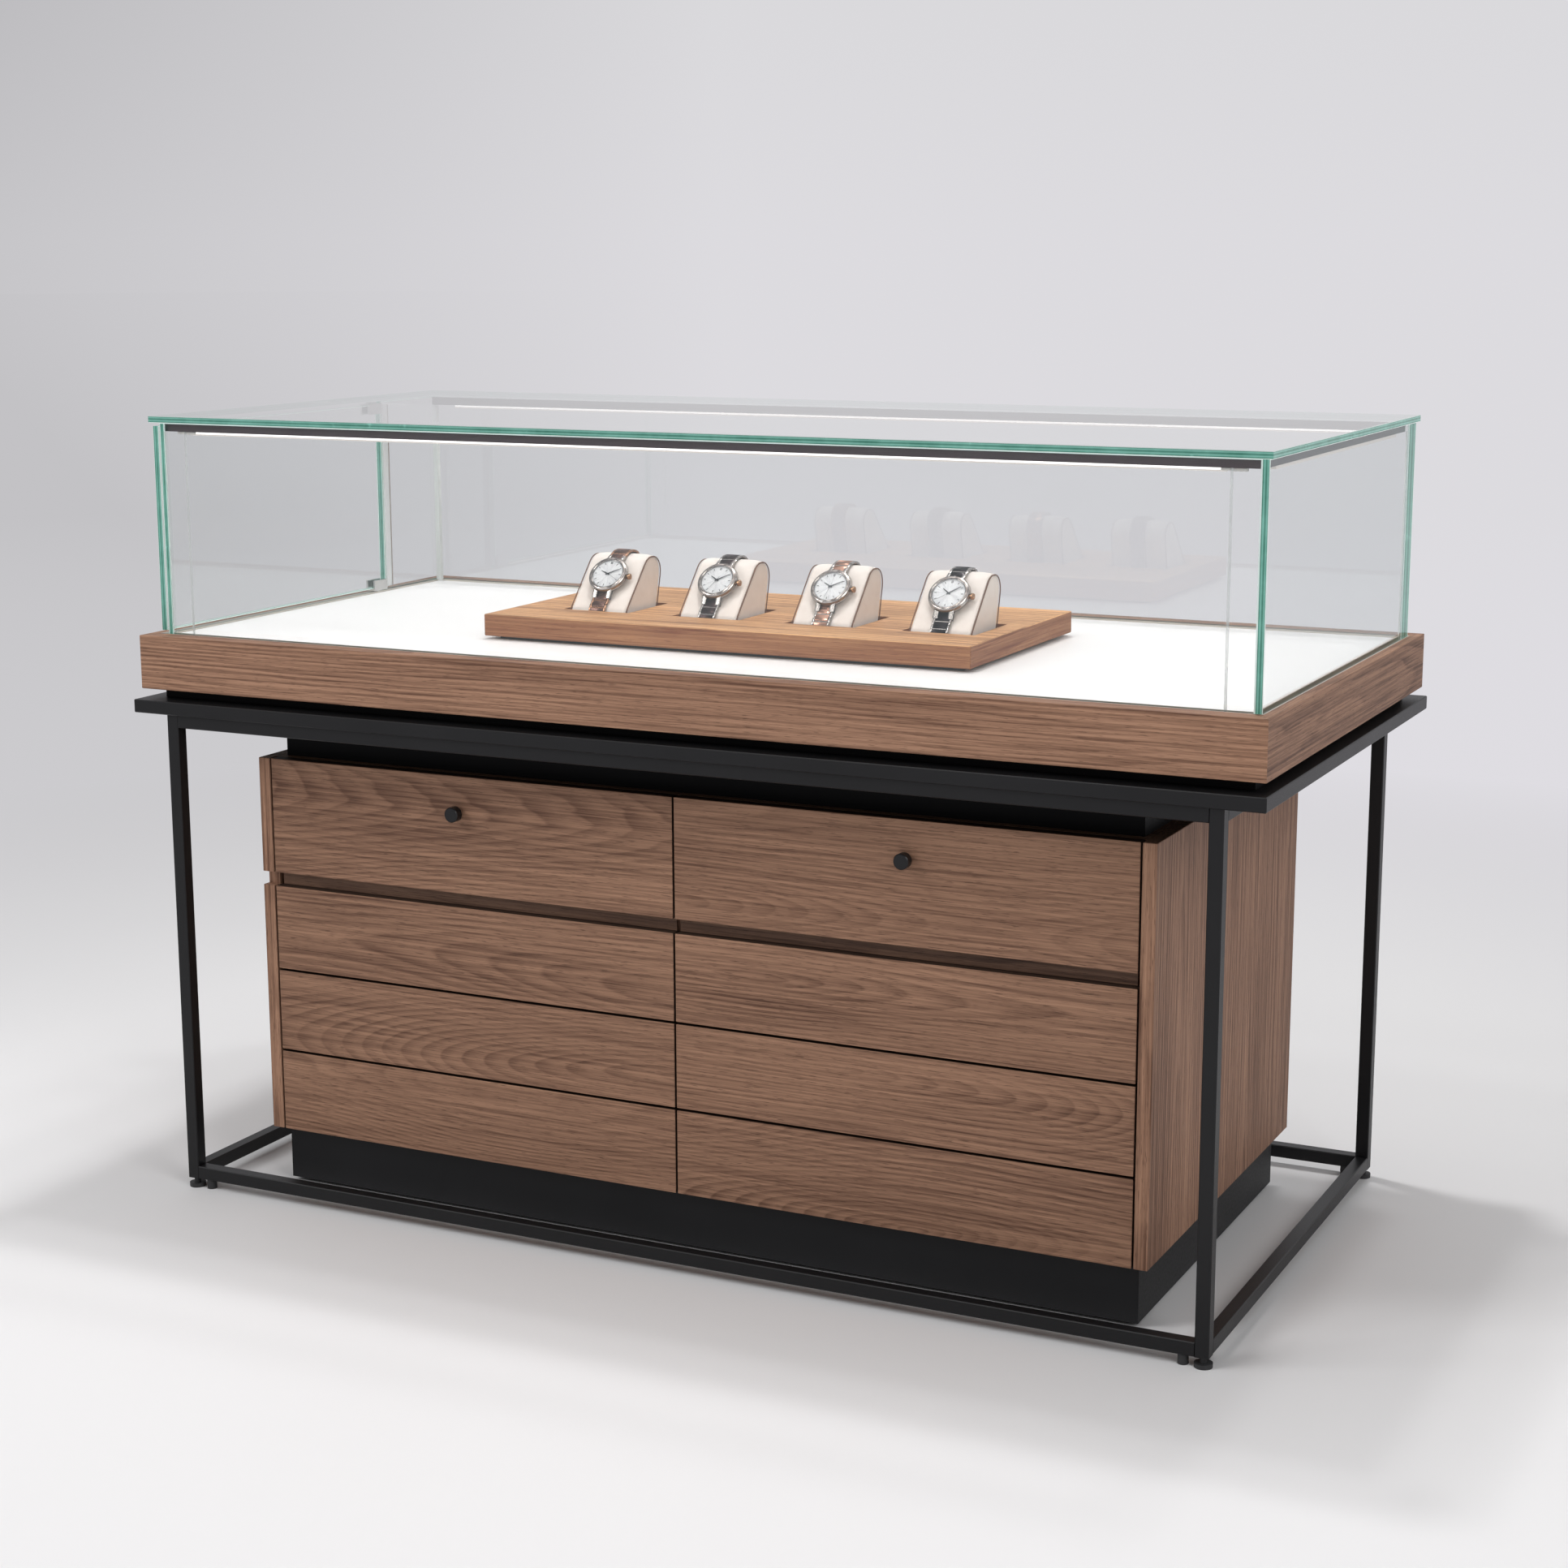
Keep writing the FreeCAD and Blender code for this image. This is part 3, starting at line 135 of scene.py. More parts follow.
# %% A finish and its nodes
class Finish:
    """A material under construction."""

    def __init__(self, name):
        self.material = bpy.data.materials.new(name)
        self.material.use_nodes = True
        self.tree = self.material.node_tree
        self.tree.nodes.clear()

    def node(self, kind, settings=None, sockets=None):
        made = self.tree.nodes.new(kind)
        for key, value in (settings or {}).items():
            setattr(made, key, value)
        for key, value in (sockets or {}).items():
            if isinstance(value, Amount):
                value = value.socket
            if isinstance(value, bpy.types.NodeSocket):
                self.tree.links.new(value, made.inputs[key])
            else:
                made.inputs[key].default_value = value
        return made

    def amount(self, kind, settings=None, sockets=None, output=0):
        return Amount(self, self.node(kind, settings, sockets).outputs[output])

    def split(self, vector):
        parts = self.node("ShaderNodeSeparateXYZ", None, {0: vector})
        return [Amount(self, socket) for socket in parts.outputs]

    def place(self):
        """The point's x, y and z in the frame, which move with the piece."""
        return self.split(self.node("ShaderNodeTexCoord").outputs["Object"])

    def facing(self):
        """The x, y and z of the direction in which the surface looks."""
        return self.split(self.node("ShaderNodeNewGeometry").outputs["Normal"])

    def own(self, name):
        """The point's x, y and z as the piece's own attribute keeps them."""
        return self.split(self.node("ShaderNodeAttribute", {"attribute_name": name}).outputs["Vector"])

    def workshop(self):
        """The point's x, y and z in millimetres, where its piece was modelled."""
        return [part * 1000 for part in self.own("own")]

    def noise(self, x, y, z, detail=2, roughness=0.5):
        """Soft noise about 0, from -0.5 to 0.5, whose cells are 1 wide in x, y and z."""
        vector = self.node("ShaderNodeCombineXYZ", None, {0: x, 1: y, 2: z}).outputs[0]
        return self.amount("ShaderNodeTexNoise", None,
                           {"Vector": vector, "Scale": 1, "Detail": detail, "Roughness": roughness}) - 0.5

    def speckle(self, place, scale, detail=2, roughness=0.5):
        """Noise with the same scale on all three axes."""
        return self.noise(*(part * scale for part in place), detail, roughness)

    def mixed(self, share, first, second):
        """A colour between two, given as tones or links."""
        return self.node("ShaderNodeMix", {"data_type": "RGBA"}, {0: share, 6: first, 7: second}).outputs[2]

    def blended(self, number, first, second):
        """A colour that goes from the first to the second as a number goes from 0 to 1."""
        return self.mixed(number.between(0, 1), first, second)

    def bumped(self, height, distance):
        return self.node("ShaderNodeBump", None, {"Height": height, "Distance": distance}).outputs[0]

    def either(self, share, first, second):
        """A shader between two."""
        return self.node("ShaderNodeMixShader", None, {0: share, 1: first, 2: second}).outputs[0]

    def surface(self, **sockets):
        """A surface shader. Its sockets are named with _ for each space."""
        named = {key.replace("_", " "): value for key, value in sockets.items()}
        return self.node("ShaderNodeBsdfPrincipled", None, named).outputs[0]

    def mirror(self):
        """How much a clear pane mirrors: little head-on, all of it at a grazing angle."""
        grazing = self.amount("ShaderNodeLayerWeight", None, {"Blend": 0.5}, "Facing")
        return grazing ** 5 * 0.93 + 0.07

    def done(self, shader):
        self.node("ShaderNodeOutputMaterial", None, {0: shader})
        return self.material

    def coated(self, **sockets):
        """The material, finished with one surface shader."""
        return self.done(self.surface(**sockets))


def tone(red, green, blue):
    """A colour as seen on a screen, 0 to 255, in the light values that a shader wants."""
    light = []
    for value in (red, green, blue):
        share = value / 255
        light.append(share / 12.92 if share <= 0.04045 else ((share + 0.055) / 1.055) ** 2.4)
    return (*light, 1)


def dimmed(colour, share):
    """A colour with only a share of its light."""
    return (*(value * share for value in colour[:3]), 1)


print("screen grey 128 is", round(tone(128, 128, 128)[0], 3), "in light")

# %% [markdown]
# ## Walnut and oak
#
# The fronts, sides and band are a grey-brown walnut veneer. Three things make it read as walnut:
# growth lines that run along the board and close into long arches where the cut grazes a
# ring, fine fibres, and short dark pores that all point the same way. A wave texture makes
# regular stripes, which look printed. Here the distance from a slightly tilted pith line is
# worked out instead, as a log has it, and bent a little with noise.

# %% Wood
def wood(name, along, across, seed, light, dark, arches=1.0, contrast=1.0, spacing=2.6,
         lipped=False, edges=None):
    """A wood finish whose grain runs on one axis. The visible face spans along and across.

    A lipped board has a strip of its own on each end, with the grain along that end. Edges says which way
    the shown face looks, and how far the other sides turn to a darker tone: painted shade."""
    finish = Finish(name)
    place = finish.place()
    axes = [place[along], place[across], place[3 - along - across]]
    if lipped:
        end = abs(finish.facing()[along]).above(0.5)
        axes = [here + (there - here) * end for here, there in zip(axes, axes[1:] + axes[:1])]
    run = axes[0] + seed * 1.37
    side = axes[1] + seed * 0.219
    deep = axes[2] + seed * 0.53
    bend = finish.noise(run * 1.3, side * 4, deep * 3, 1) * 0.05 * arches
    wander = finish.noise(run * 7, side * 40, deep * 30, 2) * 0.004
    offset = (side * 12).sine() * 0.05 + bend + wander
    lift = finish.noise(run * 0.7 * arches, deep * 2 + seed, side * 0.4, 1) * 0.2 + 0.02
    ring = (((offset * offset + lift * lift) ** 0.5) / (spacing * MM)).fraction()
    line = ring.between(0.3, 0.9) * (1 - ring.between(0.9, 1.0))
    strength = finish.noise(run * 1.5, side * 16, deep * 9, 2) * 1.6 + 0.5
    streak = finish.noise(run * 4, side * 320, deep * 320, 3, 0.62)
    fibre = finish.noise(run * 22, side * 900, deep * 900, 2, 0.6)
    pores = finish.noise(run * 60, side * 1300, deep * 1300, 1).between(0.12, 0.2)
    patch = finish.noise(run * 1.2, side * 8, deep * 5, 2)
    shade = (line * strength * 0.5 + streak * 1.7 + fibre * 0.6 + patch * 0.7) * contrast + 0.36
    colour = finish.blended(shade, light, dark)
    colour = finish.mixed(pores * 0.6, colour, dimmed(dark, 0.5))
    # Painted shade: the sides that don't look the shown face's way turn to a darker tone.
    if edges:
        axis, way, share, painted_shade_tone = edges
        colour = finish.mixed((finish.facing()[axis] * way).below(0.5) * share, colour, painted_shade_tone)
    return finish.coated(
        Base_Color=colour,
        Roughness=fibre * 0.12 + 0.56,
        Normal=finish.bumped(fibre * 0.4 - pores, 0.00006),
        Specular_IOR_Level=0.22,
    )


WALNUT = {"light": tone(165, 127, 103), "dark": tone(92, 64, 50)}
# A lighter copy of the walnut: painted light, so the long apron boards and the cabinet sides read brighter.
WALNUT_PAINTED_LIGHTER = {"light": tone(174, 134, 109), "dark": tone(98, 68, 53)}
# A darker copy of the walnut: painted shade of the groove that the grip rails sit in.
WALNUT_PAINTED_SHADE = {"light": tone(128, 98, 80), "dark": tone(66, 46, 37)}
OAK = {"light": tone(230, 178, 126), "dark": tone(120, 75, 44)}

# %% Boards and their grain
def coat(node, material):
    """Gives a node of the frame its finish."""
    piece = nodes[node]
    if len(piece.material_slots) == 0:
        piece.data.materials.append(material)
    for slot in piece.material_slots:
        slot.material = material


fronts = [name for name in nodes if name.startswith("drawer_front_")]
# Each front's sides that don't look forward turn near black: painted shade of the gaps between the drawers.
for seed, name in enumerate(sorted(fronts)):
    coat(name, wood(f"walnut_{name[13:]}", 0, 2, seed + 1, **WALNUT, contrast=1.1,
                    edges=(1, -1, 0.9, tone(24, 17, 14))))
for seed, (name, along, across, arches, contrast, tones) in enumerate((
        # The long apron boards and the cabinet sides take the lighter copy of the walnut: painted light.
        ("apron_long_boards", 0, 2, 0.4, 1.35, WALNUT_PAINTED_LIGHTER),
        ("apron_end_boards", 1, 2, 0.4, 1.35, WALNUT),
        ("cabinet_side_left", 2, 1, 0.15, 1.35, WALNUT_PAINTED_LIGHTER),
        ("cabinet_side_right", 2, 1, 0.15, 1.35, WALNUT_PAINTED_LIGHTER),
        ("cabinet_top_panel", 0, 1, 0.4, 1.2, WALNUT),
        ("cabinet_back_panel", 2, 0, 0.15, 1.4, WALNUT),
        ("cabinet_partition", 2, 1, 0.15, 1.2, WALNUT),
        # The grip rails take the darker copy of the walnut: painted shade of their groove.
        ("grip_rails", 0, 2, 0.4, 1.0, WALNUT_PAINTED_SHADE),
)):
    coat(name, wood(f"walnut_{name}", along, across, seed + 11, **tones, arches=arches,
                    contrast=contrast))
# The tray's sides that don't look up turn a deeper orange: painted shade, as they get less light than the
# top.
coat("tray", wood("oak_tray", 0, 1, 31, **OAK, arches=0.4, spacing=3.4, contrast=1.3, lipped=True,
                  edges=(2, 1, 0.6, tone(122, 57, 28))))
for seed, name in enumerate(("cabinet_bottom_panel", "deck_board")):
    coat(name, wood(f"board_{name}", 0, 1, seed + 41, tone(214, 190, 156), tone(176, 148, 112)))
print(len(fronts), "drawer fronts, each with its own cut of walnut")

# %% [markdown]
# ## Black frame, deck and metals
#
# The frame and ring are powder coated: near black, with a very fine orange-peel texture that breaks up the
# light. The boards under the case, the neck and the tray's base are a black lacquer with little shine,
# given a deeper black than the frame: their own black and painted shade of the recesses that they sit in.
# The plinth takes a lighter copy of the lacquer, painted light. The deck is an off-white laminate. Metals
# differ in the direction of their brushing, so that is a setting.

# %% Powder coat, lacquer and laminate
def powder_coat(name, colour, peel=900, rough=0.42, shine=0.3):
    finish = Finish(name)
    place = finish.place()
    grain = finish.speckle(place, peel, 3)
    cloud = finish.speckle(place, 9)
    lighter = tuple(min(1, value * 1.5 + 0.003) for value in colour[:3]) + (1,)
    return finish.coated(
        Base_Color=finish.blended(cloud + grain * 0.6 + 0.4, colour, lighter),
        Roughness=grain * 0.2 + cloud * 0.08 + rough,
        Normal=finish.bumped(grain, 0.00004),
        Specular_IOR_Level=shine,
    )


black_steel = powder_coat("black_powder_coat", tone(11, 11, 13))
# Painted shade and light: the recessed boards take a deeper black than the frame, and the plinth a lighter
# one.
black_with_painted_shade = powder_coat("black_lacquer_painted_shade", tone(4, 4, 5), peel=300, rough=0.5, shine=0.08)
plinth_black_painted_lighter = powder_coat("plinth_lacquer_painted_lighter", tone(17, 17, 19), peel=300, rough=0.5)
for name in ("frame_legs", "frame_rails", "ring_frame"):
    coat(name, black_steel)
for name in ("base_board", "neck_riser", "tray_base"):
    coat(name, black_with_painted_shade)
coat("plinth", plinth_black_painted_lighter)
for name in nodes:
    if name.startswith("drawer_box_"):
        coat(name, powder_coat(f"grey_coat_{name[11:]}", tone(150, 152, 154)))
    if name.startswith("knob_"):
        coat(name, powder_coat(f"knob_coat_{name[5:]}", tone(16, 16, 18), peel=1400, rough=0.34))


# %% Laminate
def laminate(name, colour, darker):
    finish = Finish(name)
    x, y, z = place = finish.place()
    speck = finish.speckle(place, 900)
    cloud = finish.noise(x * 5, y * 14, z * 5, 3)
    return finish.coated(
        Base_Color=finish.blended(cloud * 0.8 + speck * 0.5 + 0.4, colour, darker),
        Roughness=speck * 0.15 + 0.42,
        Normal=finish.bumped(speck, 0.00002),
    )


coat("deck_panel", laminate("deck_laminate", tone(248, 247, 246), tone(242, 241, 240)))
coat("led_driver", laminate("driver_case", tone(228, 228, 228), tone(214, 214, 214)))
coat("push_latches", laminate("latch_plastic", tone(74, 74, 76), tone(58, 58, 60)))


# %% Metal
def metal(name, colour, along=0, brush=1.0, rough=0.3, top=None):
    """A metal with fine brushing that runs on one axis. Its upper side can have a tone of its own."""
    finish = Finish(name)
    place = finish.place()
    scales = [2200, 2200, 2200]
    scales[along] = 14
    brushing = finish.noise(*(part * scale for part, scale in zip(place, scales)), 3, 0.6)
    cloud = finish.speckle(place, 20)
    shade = finish.blended(brushing * brush + cloud * 0.5 + 0.4, colour, dimmed(colour, 0.8))
    if top:
        shade = finish.mixed(finish.facing()[2].above(0.5), shade, top)
    return finish.coated(
        Base_Color=shade,
        Metallic=1.0,
        Roughness=brushing * 0.22 * brush + cloud * 0.06 + rough,
        Normal=finish.bumped(brushing, 0.00002 * brush + 0.000001),
    )


coat("glass_channel", metal("channel_anodised", tone(214, 208, 198), rough=0.4))
coat("led_profiles", metal("profile_anodised", tone(108, 103, 105), rough=0.42, top=tone(226, 226, 228)))
coat("door_pivots", metal("patch_steel", tone(206, 205, 203), along=1))
coat("pivot_bearings", metal("bearing_steel", tone(190, 190, 188), along=2))
coat("drawer_runners", metal("runner_zinc", tone(196, 198, 201), along=1, brush=0.4, rough=0.38))


# %% Rubber feet
def rubber(name, colour):
    finish = Finish(name)
    bloom = finish.speckle(finish.place(), 160, 3)
    return finish.coated(
        Base_Color=finish.blended(bloom + 0.4, colour, tone(48, 48, 50)),
        Roughness=bloom * 0.2 + 0.6,
        Normal=finish.bumped(bloom, 0.00008),
    )


coat("levelling_feet", rubber("foot_rubber", tone(28, 28, 29)))
print(len(bpy.data.materials), "finishes so far")

# %% [markdown]
# ## Glass
#
# Float glass looks almost clear through its face and strongly blue-green along its polished edges,
# because there one looks along the pane instead of through it. A refracting shader would darken
# what stands behind two panes, so the face is see-through and only mirrors: little head-on, and a
# lot at a grazing angle. The Fresnel node would take a pane's far face for the inside of solid
# glass and mirror everything there, so the law is worked out from how far the surface faces away.
# Only one of a pane's two faces mirrors, because two would show every light strip twice. A rim as wide as
# the polished edge is picked out by place, and gets the green, with a weak glow that is painted light, as
# glass is no lamp. Bright bands, glints and a near-white line at each arris are painted on the green:
# painted reflections of the edge. Through real glass an edge behind the face is squeezed thin, so the far
# edges are fainter.

# %% Panes
RIM = 1.1 * MM


def pane(node, far_x=-1.0, far_y=1.0, tint=tone(190, 201, 200), veil=0.06):
    """Clear glass with green edges for one pane. Edges past far_x and far_y are fainter."""
    finish = Finish(f"glass_{node}")
    place = finish.place()
    low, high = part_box(node)
    thin = min(range(3), key=lambda axis: high[axis] - low[axis])
    outside = [abs(place[axis] - (low[axis] + high[axis]) / 2) - ((high[axis] - low[axis]) / 2 - RIM)
               for axis in range(3) if axis != thin]
    edge = outside[0].or_more(outside[1])
    x, y, z = place
    smear = finish.noise(x * 6, y * 6, z * 9, 3).between(-0.05, 0.5)
    depth = (place[thin] - low[thin]) / (high[thin] - low[thin])
    face = finish.surface(
        Base_Color=tint,
        Metallic=1.0,
        Roughness=smear * 0.05 + 0.012,
        Alpha=(finish.mirror() + smear * 0.02 + veil) * depth.above(0.5),
    )
    # Painted reflections on the green edge: bright bands across the edge, glints, and a near-white line at
    # each arris.
    painted_reflection_bands = (1 - abs(depth - 0.33) * 6).or_more(1 - abs(depth - 0.76) * 7).or_more(0)
    streak = finish.speckle(place, 26, 3, 0.7)
    painted_glint = finish.speckle(place, 60).between(0.2, 0.3)
    glow = painted_reflection_bands * 0.6 + streak * 0.7 + 0.2 + painted_glint * 0.5
    green = finish.blended(glow, tone(30, 106, 86), tone(138, 200, 186))
    painted_arris_highlight = abs(depth - 0.5).above(0.42)
    green = finish.mixed(painted_arris_highlight * 0.75, green, tone(236, 247, 244))
    # A weak glow on the rim: painted light, as the glass is no lamp.
    painted_glow_rim = finish.surface(Base_Color=green, Roughness=streak * 0.1 + 0.1, Metallic=0.0,
                               Emission_Color=green, Emission_Strength=0.4)
    faint = x.below(far_x).or_more(y.above(far_y))
    rim_share = edge.above(0) * (1 - faint * 0.7)
    return finish.done(finish.either(rim_share, face, painted_glow_rim))


coat("glass_front", pane("glass_front", far_x=-0.676))
coat("glass_back", pane("glass_back", far_y=0.29))
coat("glass_top", pane("glass_top", far_x=-0.689, far_y=0.307, tint=tone(251, 253, 251), veil=0.0))
for name in ("glass_right", "glass_left", "door_glass"):
    coat(name, pane(name))


# %% Light strips
LINE_LIFT, LINE_END = 1.7 * MM, 0.66


def lit_opal(name):
    """Opal strips that shine downward, with one bright line along the sides that look forward."""
    finish = Finish(name)
    x, y, z = place = finish.place()
    _, forward, upward = finish.facing()
    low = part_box("led_diffusers")[0][2]
    uneven = finish.speckle(place, 30)
    glow = finish.blended(uneven + 0.5, tone(255, 252, 246), tone(255, 255, 253))
    line = forward.below(-0.5) * z.above(low + LINE_LIFT) * x.below(LINE_END)
    lit = finish.mixed(line, (0.03, 0.028, 0.026, 1), (0.12, 0.118, 0.115, 1))
    lit = finish.mixed(upward.below(-0.5), lit, glow)
    return finish.coated(Base_Color=finish.mixed(line, tone(206, 198, 194), glow), Roughness=0.4,
                         Emission_Color=lit, Emission_Strength=10.0)


coat("led_diffusers", lit_opal("opal_diffuser"))
print("glass and light strips done")

# %% [markdown]
# ## Shaping helpers
#
# The new pieces are modelled in a small workshop frame of their own and then set in place. Before
# a piece is moved, each of its points keeps its workshop place in an attribute named own, so a
# pattern can follow the piece however it is turned.

# %% Helpers for new pieces
def remember(work):
    """Keeps every point's workshop place as the attribute own."""
    layer = work.verts.layers.float_vector.new("own")
    for vert in work.verts:
        vert[layer] = vert.co.copy()


def piece_from(name, work, material, body, place=Matrix.Identity(4), smooth=True):
    """Sets mesh work in place as a finished piece that rides on a body."""
    remember(work)
    bmesh.ops.transform(work, matrix=place, verts=work.verts)
    mesh = bpy.data.meshes.new(name)
    work.to_mesh(mesh)
    mesh.materials.append(material)
    if smooth:
        mesh.shade_smooth()
        mesh.set_sharp_from_angle(angle=math.radians(35))
    piece = added(name, mesh)
    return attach(piece, body)


def lathe(corners, steps, closed=False):
    """A shape turned about Z from (radius, height) corners in millimetres."""
    work = bmesh.new()
    verts = [work.verts.new((radius * MM, 0, height * MM)) for radius, height in corners]
    edges = [work.edges.new(pair) for pair in zip(verts, verts[1:])]
    if closed:
        edges.append(work.edges.new((verts[-1], verts[0])))
    bmesh.ops.spin(work, geom=verts + edges, angle=2 * math.pi, steps=steps, axis=(0, 0, 1),
                   cent=(0, 0, 0), use_merge=True)
    bmesh.ops.remove_doubles(work, verts=work.verts, dist=0.00001)
    bmesh.ops.recalc_face_normals(work, faces=work.faces)
    return work


def ease_edges(work, verts, ease, segments):
    """Rounds the edges that meet at some vertices, by a size in millimetres."""
    edges = list({edge for vert in verts for edge in vert.link_edges})
    bmesh.ops.bevel(work, geom=edges, offset=ease * MM, segments=segments, profile=0.5,
                    affect="EDGES", material=-1)


def add_block(work, low, high, ease=0.0, segments=1, turn=Matrix.Identity(4)):
    """Adds a block between two corners in millimetres, with its edges eased."""
    made = bmesh.ops.create_cube(work, size=1)["verts"]
    size = Vector(high) - Vector(low)
    middle = (Vector(high) + Vector(low)) / 2
    shape = Matrix.Translation(middle * MM) @ Matrix.Diagonal((*(size * MM), 1))
    bmesh.ops.transform(work, matrix=turn @ shape, verts=made)
    if ease:
        ease_edges(work, made, ease, segments)
    return made


def flute(work, inside, share, steps):
    """Draws in every second rib beyond a radius, as on a crown that fingers turn."""
    for vert in work.verts:
        radius = math.hypot(vert.co.x, vert.co.y)
        rib = round(math.atan2(vert.co.y, vert.co.x) / (2 * math.pi) * steps)
        if radius > inside * MM and rib % 2:
            vert.co.x *= share
            vert.co.y *= share


# %% [markdown]
# ## The cushions
#
# Each cushion is a D in section: upright behind, a long slope in front for the watch, round on
# top. Two flat D panels are sewn to one wrap, with a thin piping in the seam. It is made in the
# order that a maker works: the foam body from its corners, then the cover blown up a little so
# that it crowns between the seams, and then the piping. The stitches are part of the suede's
# finish. Lengths are in millimetres here, and are multiplied by MM where they are used.

# %% The D profile
SOLE = -17.7
REACH, BASE, SLOPE, RISE = 94, 75, 57, 62
SEAM = 38.4
ROUND_STEPS = 8


def profile_corners(share, raised):
    """Corners of the D as (y, z, radius) in millimetres, swollen by a share, sole raised."""
    lean = (REACH - BASE) / (RISE - SOLE)
    corners = ((0, SOLE + raised, 10), (0, 0, 12), (SLOPE, RISE, 22), (REACH, RISE, 20),
               (BASE + lean * raised, SOLE + raised, 10))
    middle = BASE / 2
    return [(middle + (y - middle) * share, SOLE + (z - SOLE) * share, radius * share)
            for y, z, radius in corners]


def profile_face(work, share, raised, x):
    """Adds the rounded D as one face at x, and returns it."""
    corners = profile_corners(share, raised)
    verts = [work.verts.new((x * MM, y * MM, z * MM)) for y, z, _ in corners]
    work.faces.new(verts)
    reaches = []
    for index, (_, _, radius) in enumerate(corners):
        here = verts[index].co
        back = (verts[index - 1].co - here).normalized()
        ahead = (verts[(index + 1) % 5].co - here).normalized()
        reaches.append(radius * MM / math.tan(back.angle(ahead) / 2))
    for vert, reach in zip(verts, reaches):
        bmesh.ops.bevel(work, geom=[vert], offset=reach, offset_type="ABSOLUTE",
                        segments=ROUND_STEPS, profile=0.5, affect="VERTICES", material=-1)
    work.faces.ensure_lookup_table()
    return work.faces[0]


def profile_loop(share, raised):
    """The rounded D's corner points in order, in metres."""
    work = bmesh.new()
    loop = [vert.co.copy() for vert in profile_face(work, share, raised, 0).verts]
    work.free()
    return loop


print("D profile has", len(profile_loop(1, 0)), "points")

# %% Foam body
SEAM_SHARE = 0.978
SECTIONS = ((-35, 0.994), (-27, 1.004), (-14, 1.008), (14, 1.008), (27, 1.004), (35, 0.994),
            (SEAM, SEAM_SHARE))


def foam():
    """The cushion before its cover is stretched: eight sections, drawn in toward the seams."""
    work = bmesh.new()
    share, place = SEAM_SHARE, -SEAM
    face = profile_face(work, share, 0, place)
    for next_place, next_share in SECTIONS:
        made = bmesh.ops.extrude_face_region(work, geom=[face])["geom"]
        verts = [item for item in made if isinstance(item, bmesh.types.BMVert)]
        face = next(item for item in made if isinstance(item, bmesh.types.BMFace))
        bmesh.ops.translate(work, vec=((next_place - place) * MM, 0, 0), verts=verts)
        centre = Matrix.Translation((0, -BASE / 2 * MM, -SOLE * MM))
        bmesh.ops.scale(work, vec=(1, next_share / share, next_share / share), space=centre, verts=verts)
        share, place = next_share, next_place
    bmesh.ops.recalc_face_normals(work, faces=work.faces)
    return work


# %% Cover stretched over the foam
# The width of a mesh cell, the step along a seam, and the most that a point may move out. What
# is held is the strip under the strap and the sole, and the channel is the strap's way through.
CELL = 2.6
SEAM_STEP = 0.5
MOST_SWELL = 1.6
HELD_HALF, HELD_SOLE = 15, 3
CHANNEL_HALF, CHANNEL_RISE = 13.6, 5.2
CLOTH_FRAMES = 16
CLOTH = {"quality": 6, "mass": 0.2, "tension_stiffness": 30, "compression_stiffness": 30,
         "shear_stiffness": 15, "bending_stiffness": 2, "vertex_group_mass": "held",
         "use_pressure": True, "uniform_pressure_force": 9}


def evaluated(piece):
    """The piece's mesh with its modifiers applied, as a new mesh."""
    bpy.context.view_layer.update()
    return bpy.data.meshes.new_from_object(piece.evaluated_get(bpy.context.evaluated_depsgraph_get()))


def nearest_seam(points):
    """A search tree of the two seam loops. The second's numbers go on from the first's."""
    tree = KDTree(2 * len(points))
    for number in range(2 * len(points)):
        side = -1 if number < len(points) else 1
        point = points[number % len(points)]
        tree.insert(Vector((side * SEAM * MM, point.y, point.z)), number)
    tree.balance()
    return tree


def evenly(points, spacing):
    """Points at an even spacing round a closed loop."""
    closed = points + points[:1]
    result, left = [], 0.0
    for here, there in zip(closed, closed[1:]):
        gap = (there - here).length
        while left < gap:
            result.append(here.lerp(there, left / gap))
            left += spacing
        left -= gap
    return result


def blown(mesh, tree):
    """Lets the cover swell by cloth with air in it, held at the seams, the sole and the strap."""
    stand = added("cover_at_work", mesh)
    held = stand.vertex_groups.new(name="held")
    for vert in mesh.vertices:
        x, y, z = (value / MM for value in vert.co)
        _, _, distance = tree.find(vert.co)
        if distance < CELL * MM or abs(x) < HELD_HALF or z < SOLE + HELD_SOLE:
            held.add([vert.index], 1.0, "REPLACE")
    cloth = stand.modifiers.new("cover", "CLOTH")
    for setting, value in CLOTH.items():
        setattr(cloth.settings, setting, value)
    cloth.settings.effector_weights.gravity = 0
    cloth.point_cache.frame_start = 1
    cloth.point_cache.frame_end = CLOTH_FRAMES
    for number in range(1, CLOTH_FRAMES + 1):
        scene.frame_set(number)
    swollen = evaluated(stand)
    scene.frame_set(1)
    most = 0.0
    for before, after in zip(mesh.vertices, swollen.vertices):
        move = after.co - before.co
        if move.length > MOST_SWELL * MM:
            move *= MOST_SWELL * MM / move.length
        most = max(most, move.length)
        after.co = before.co + move
    print("cover swells by up to", round(most / MM, 2), "mm")
    bpy.data.objects.remove(stand)
    return swollen


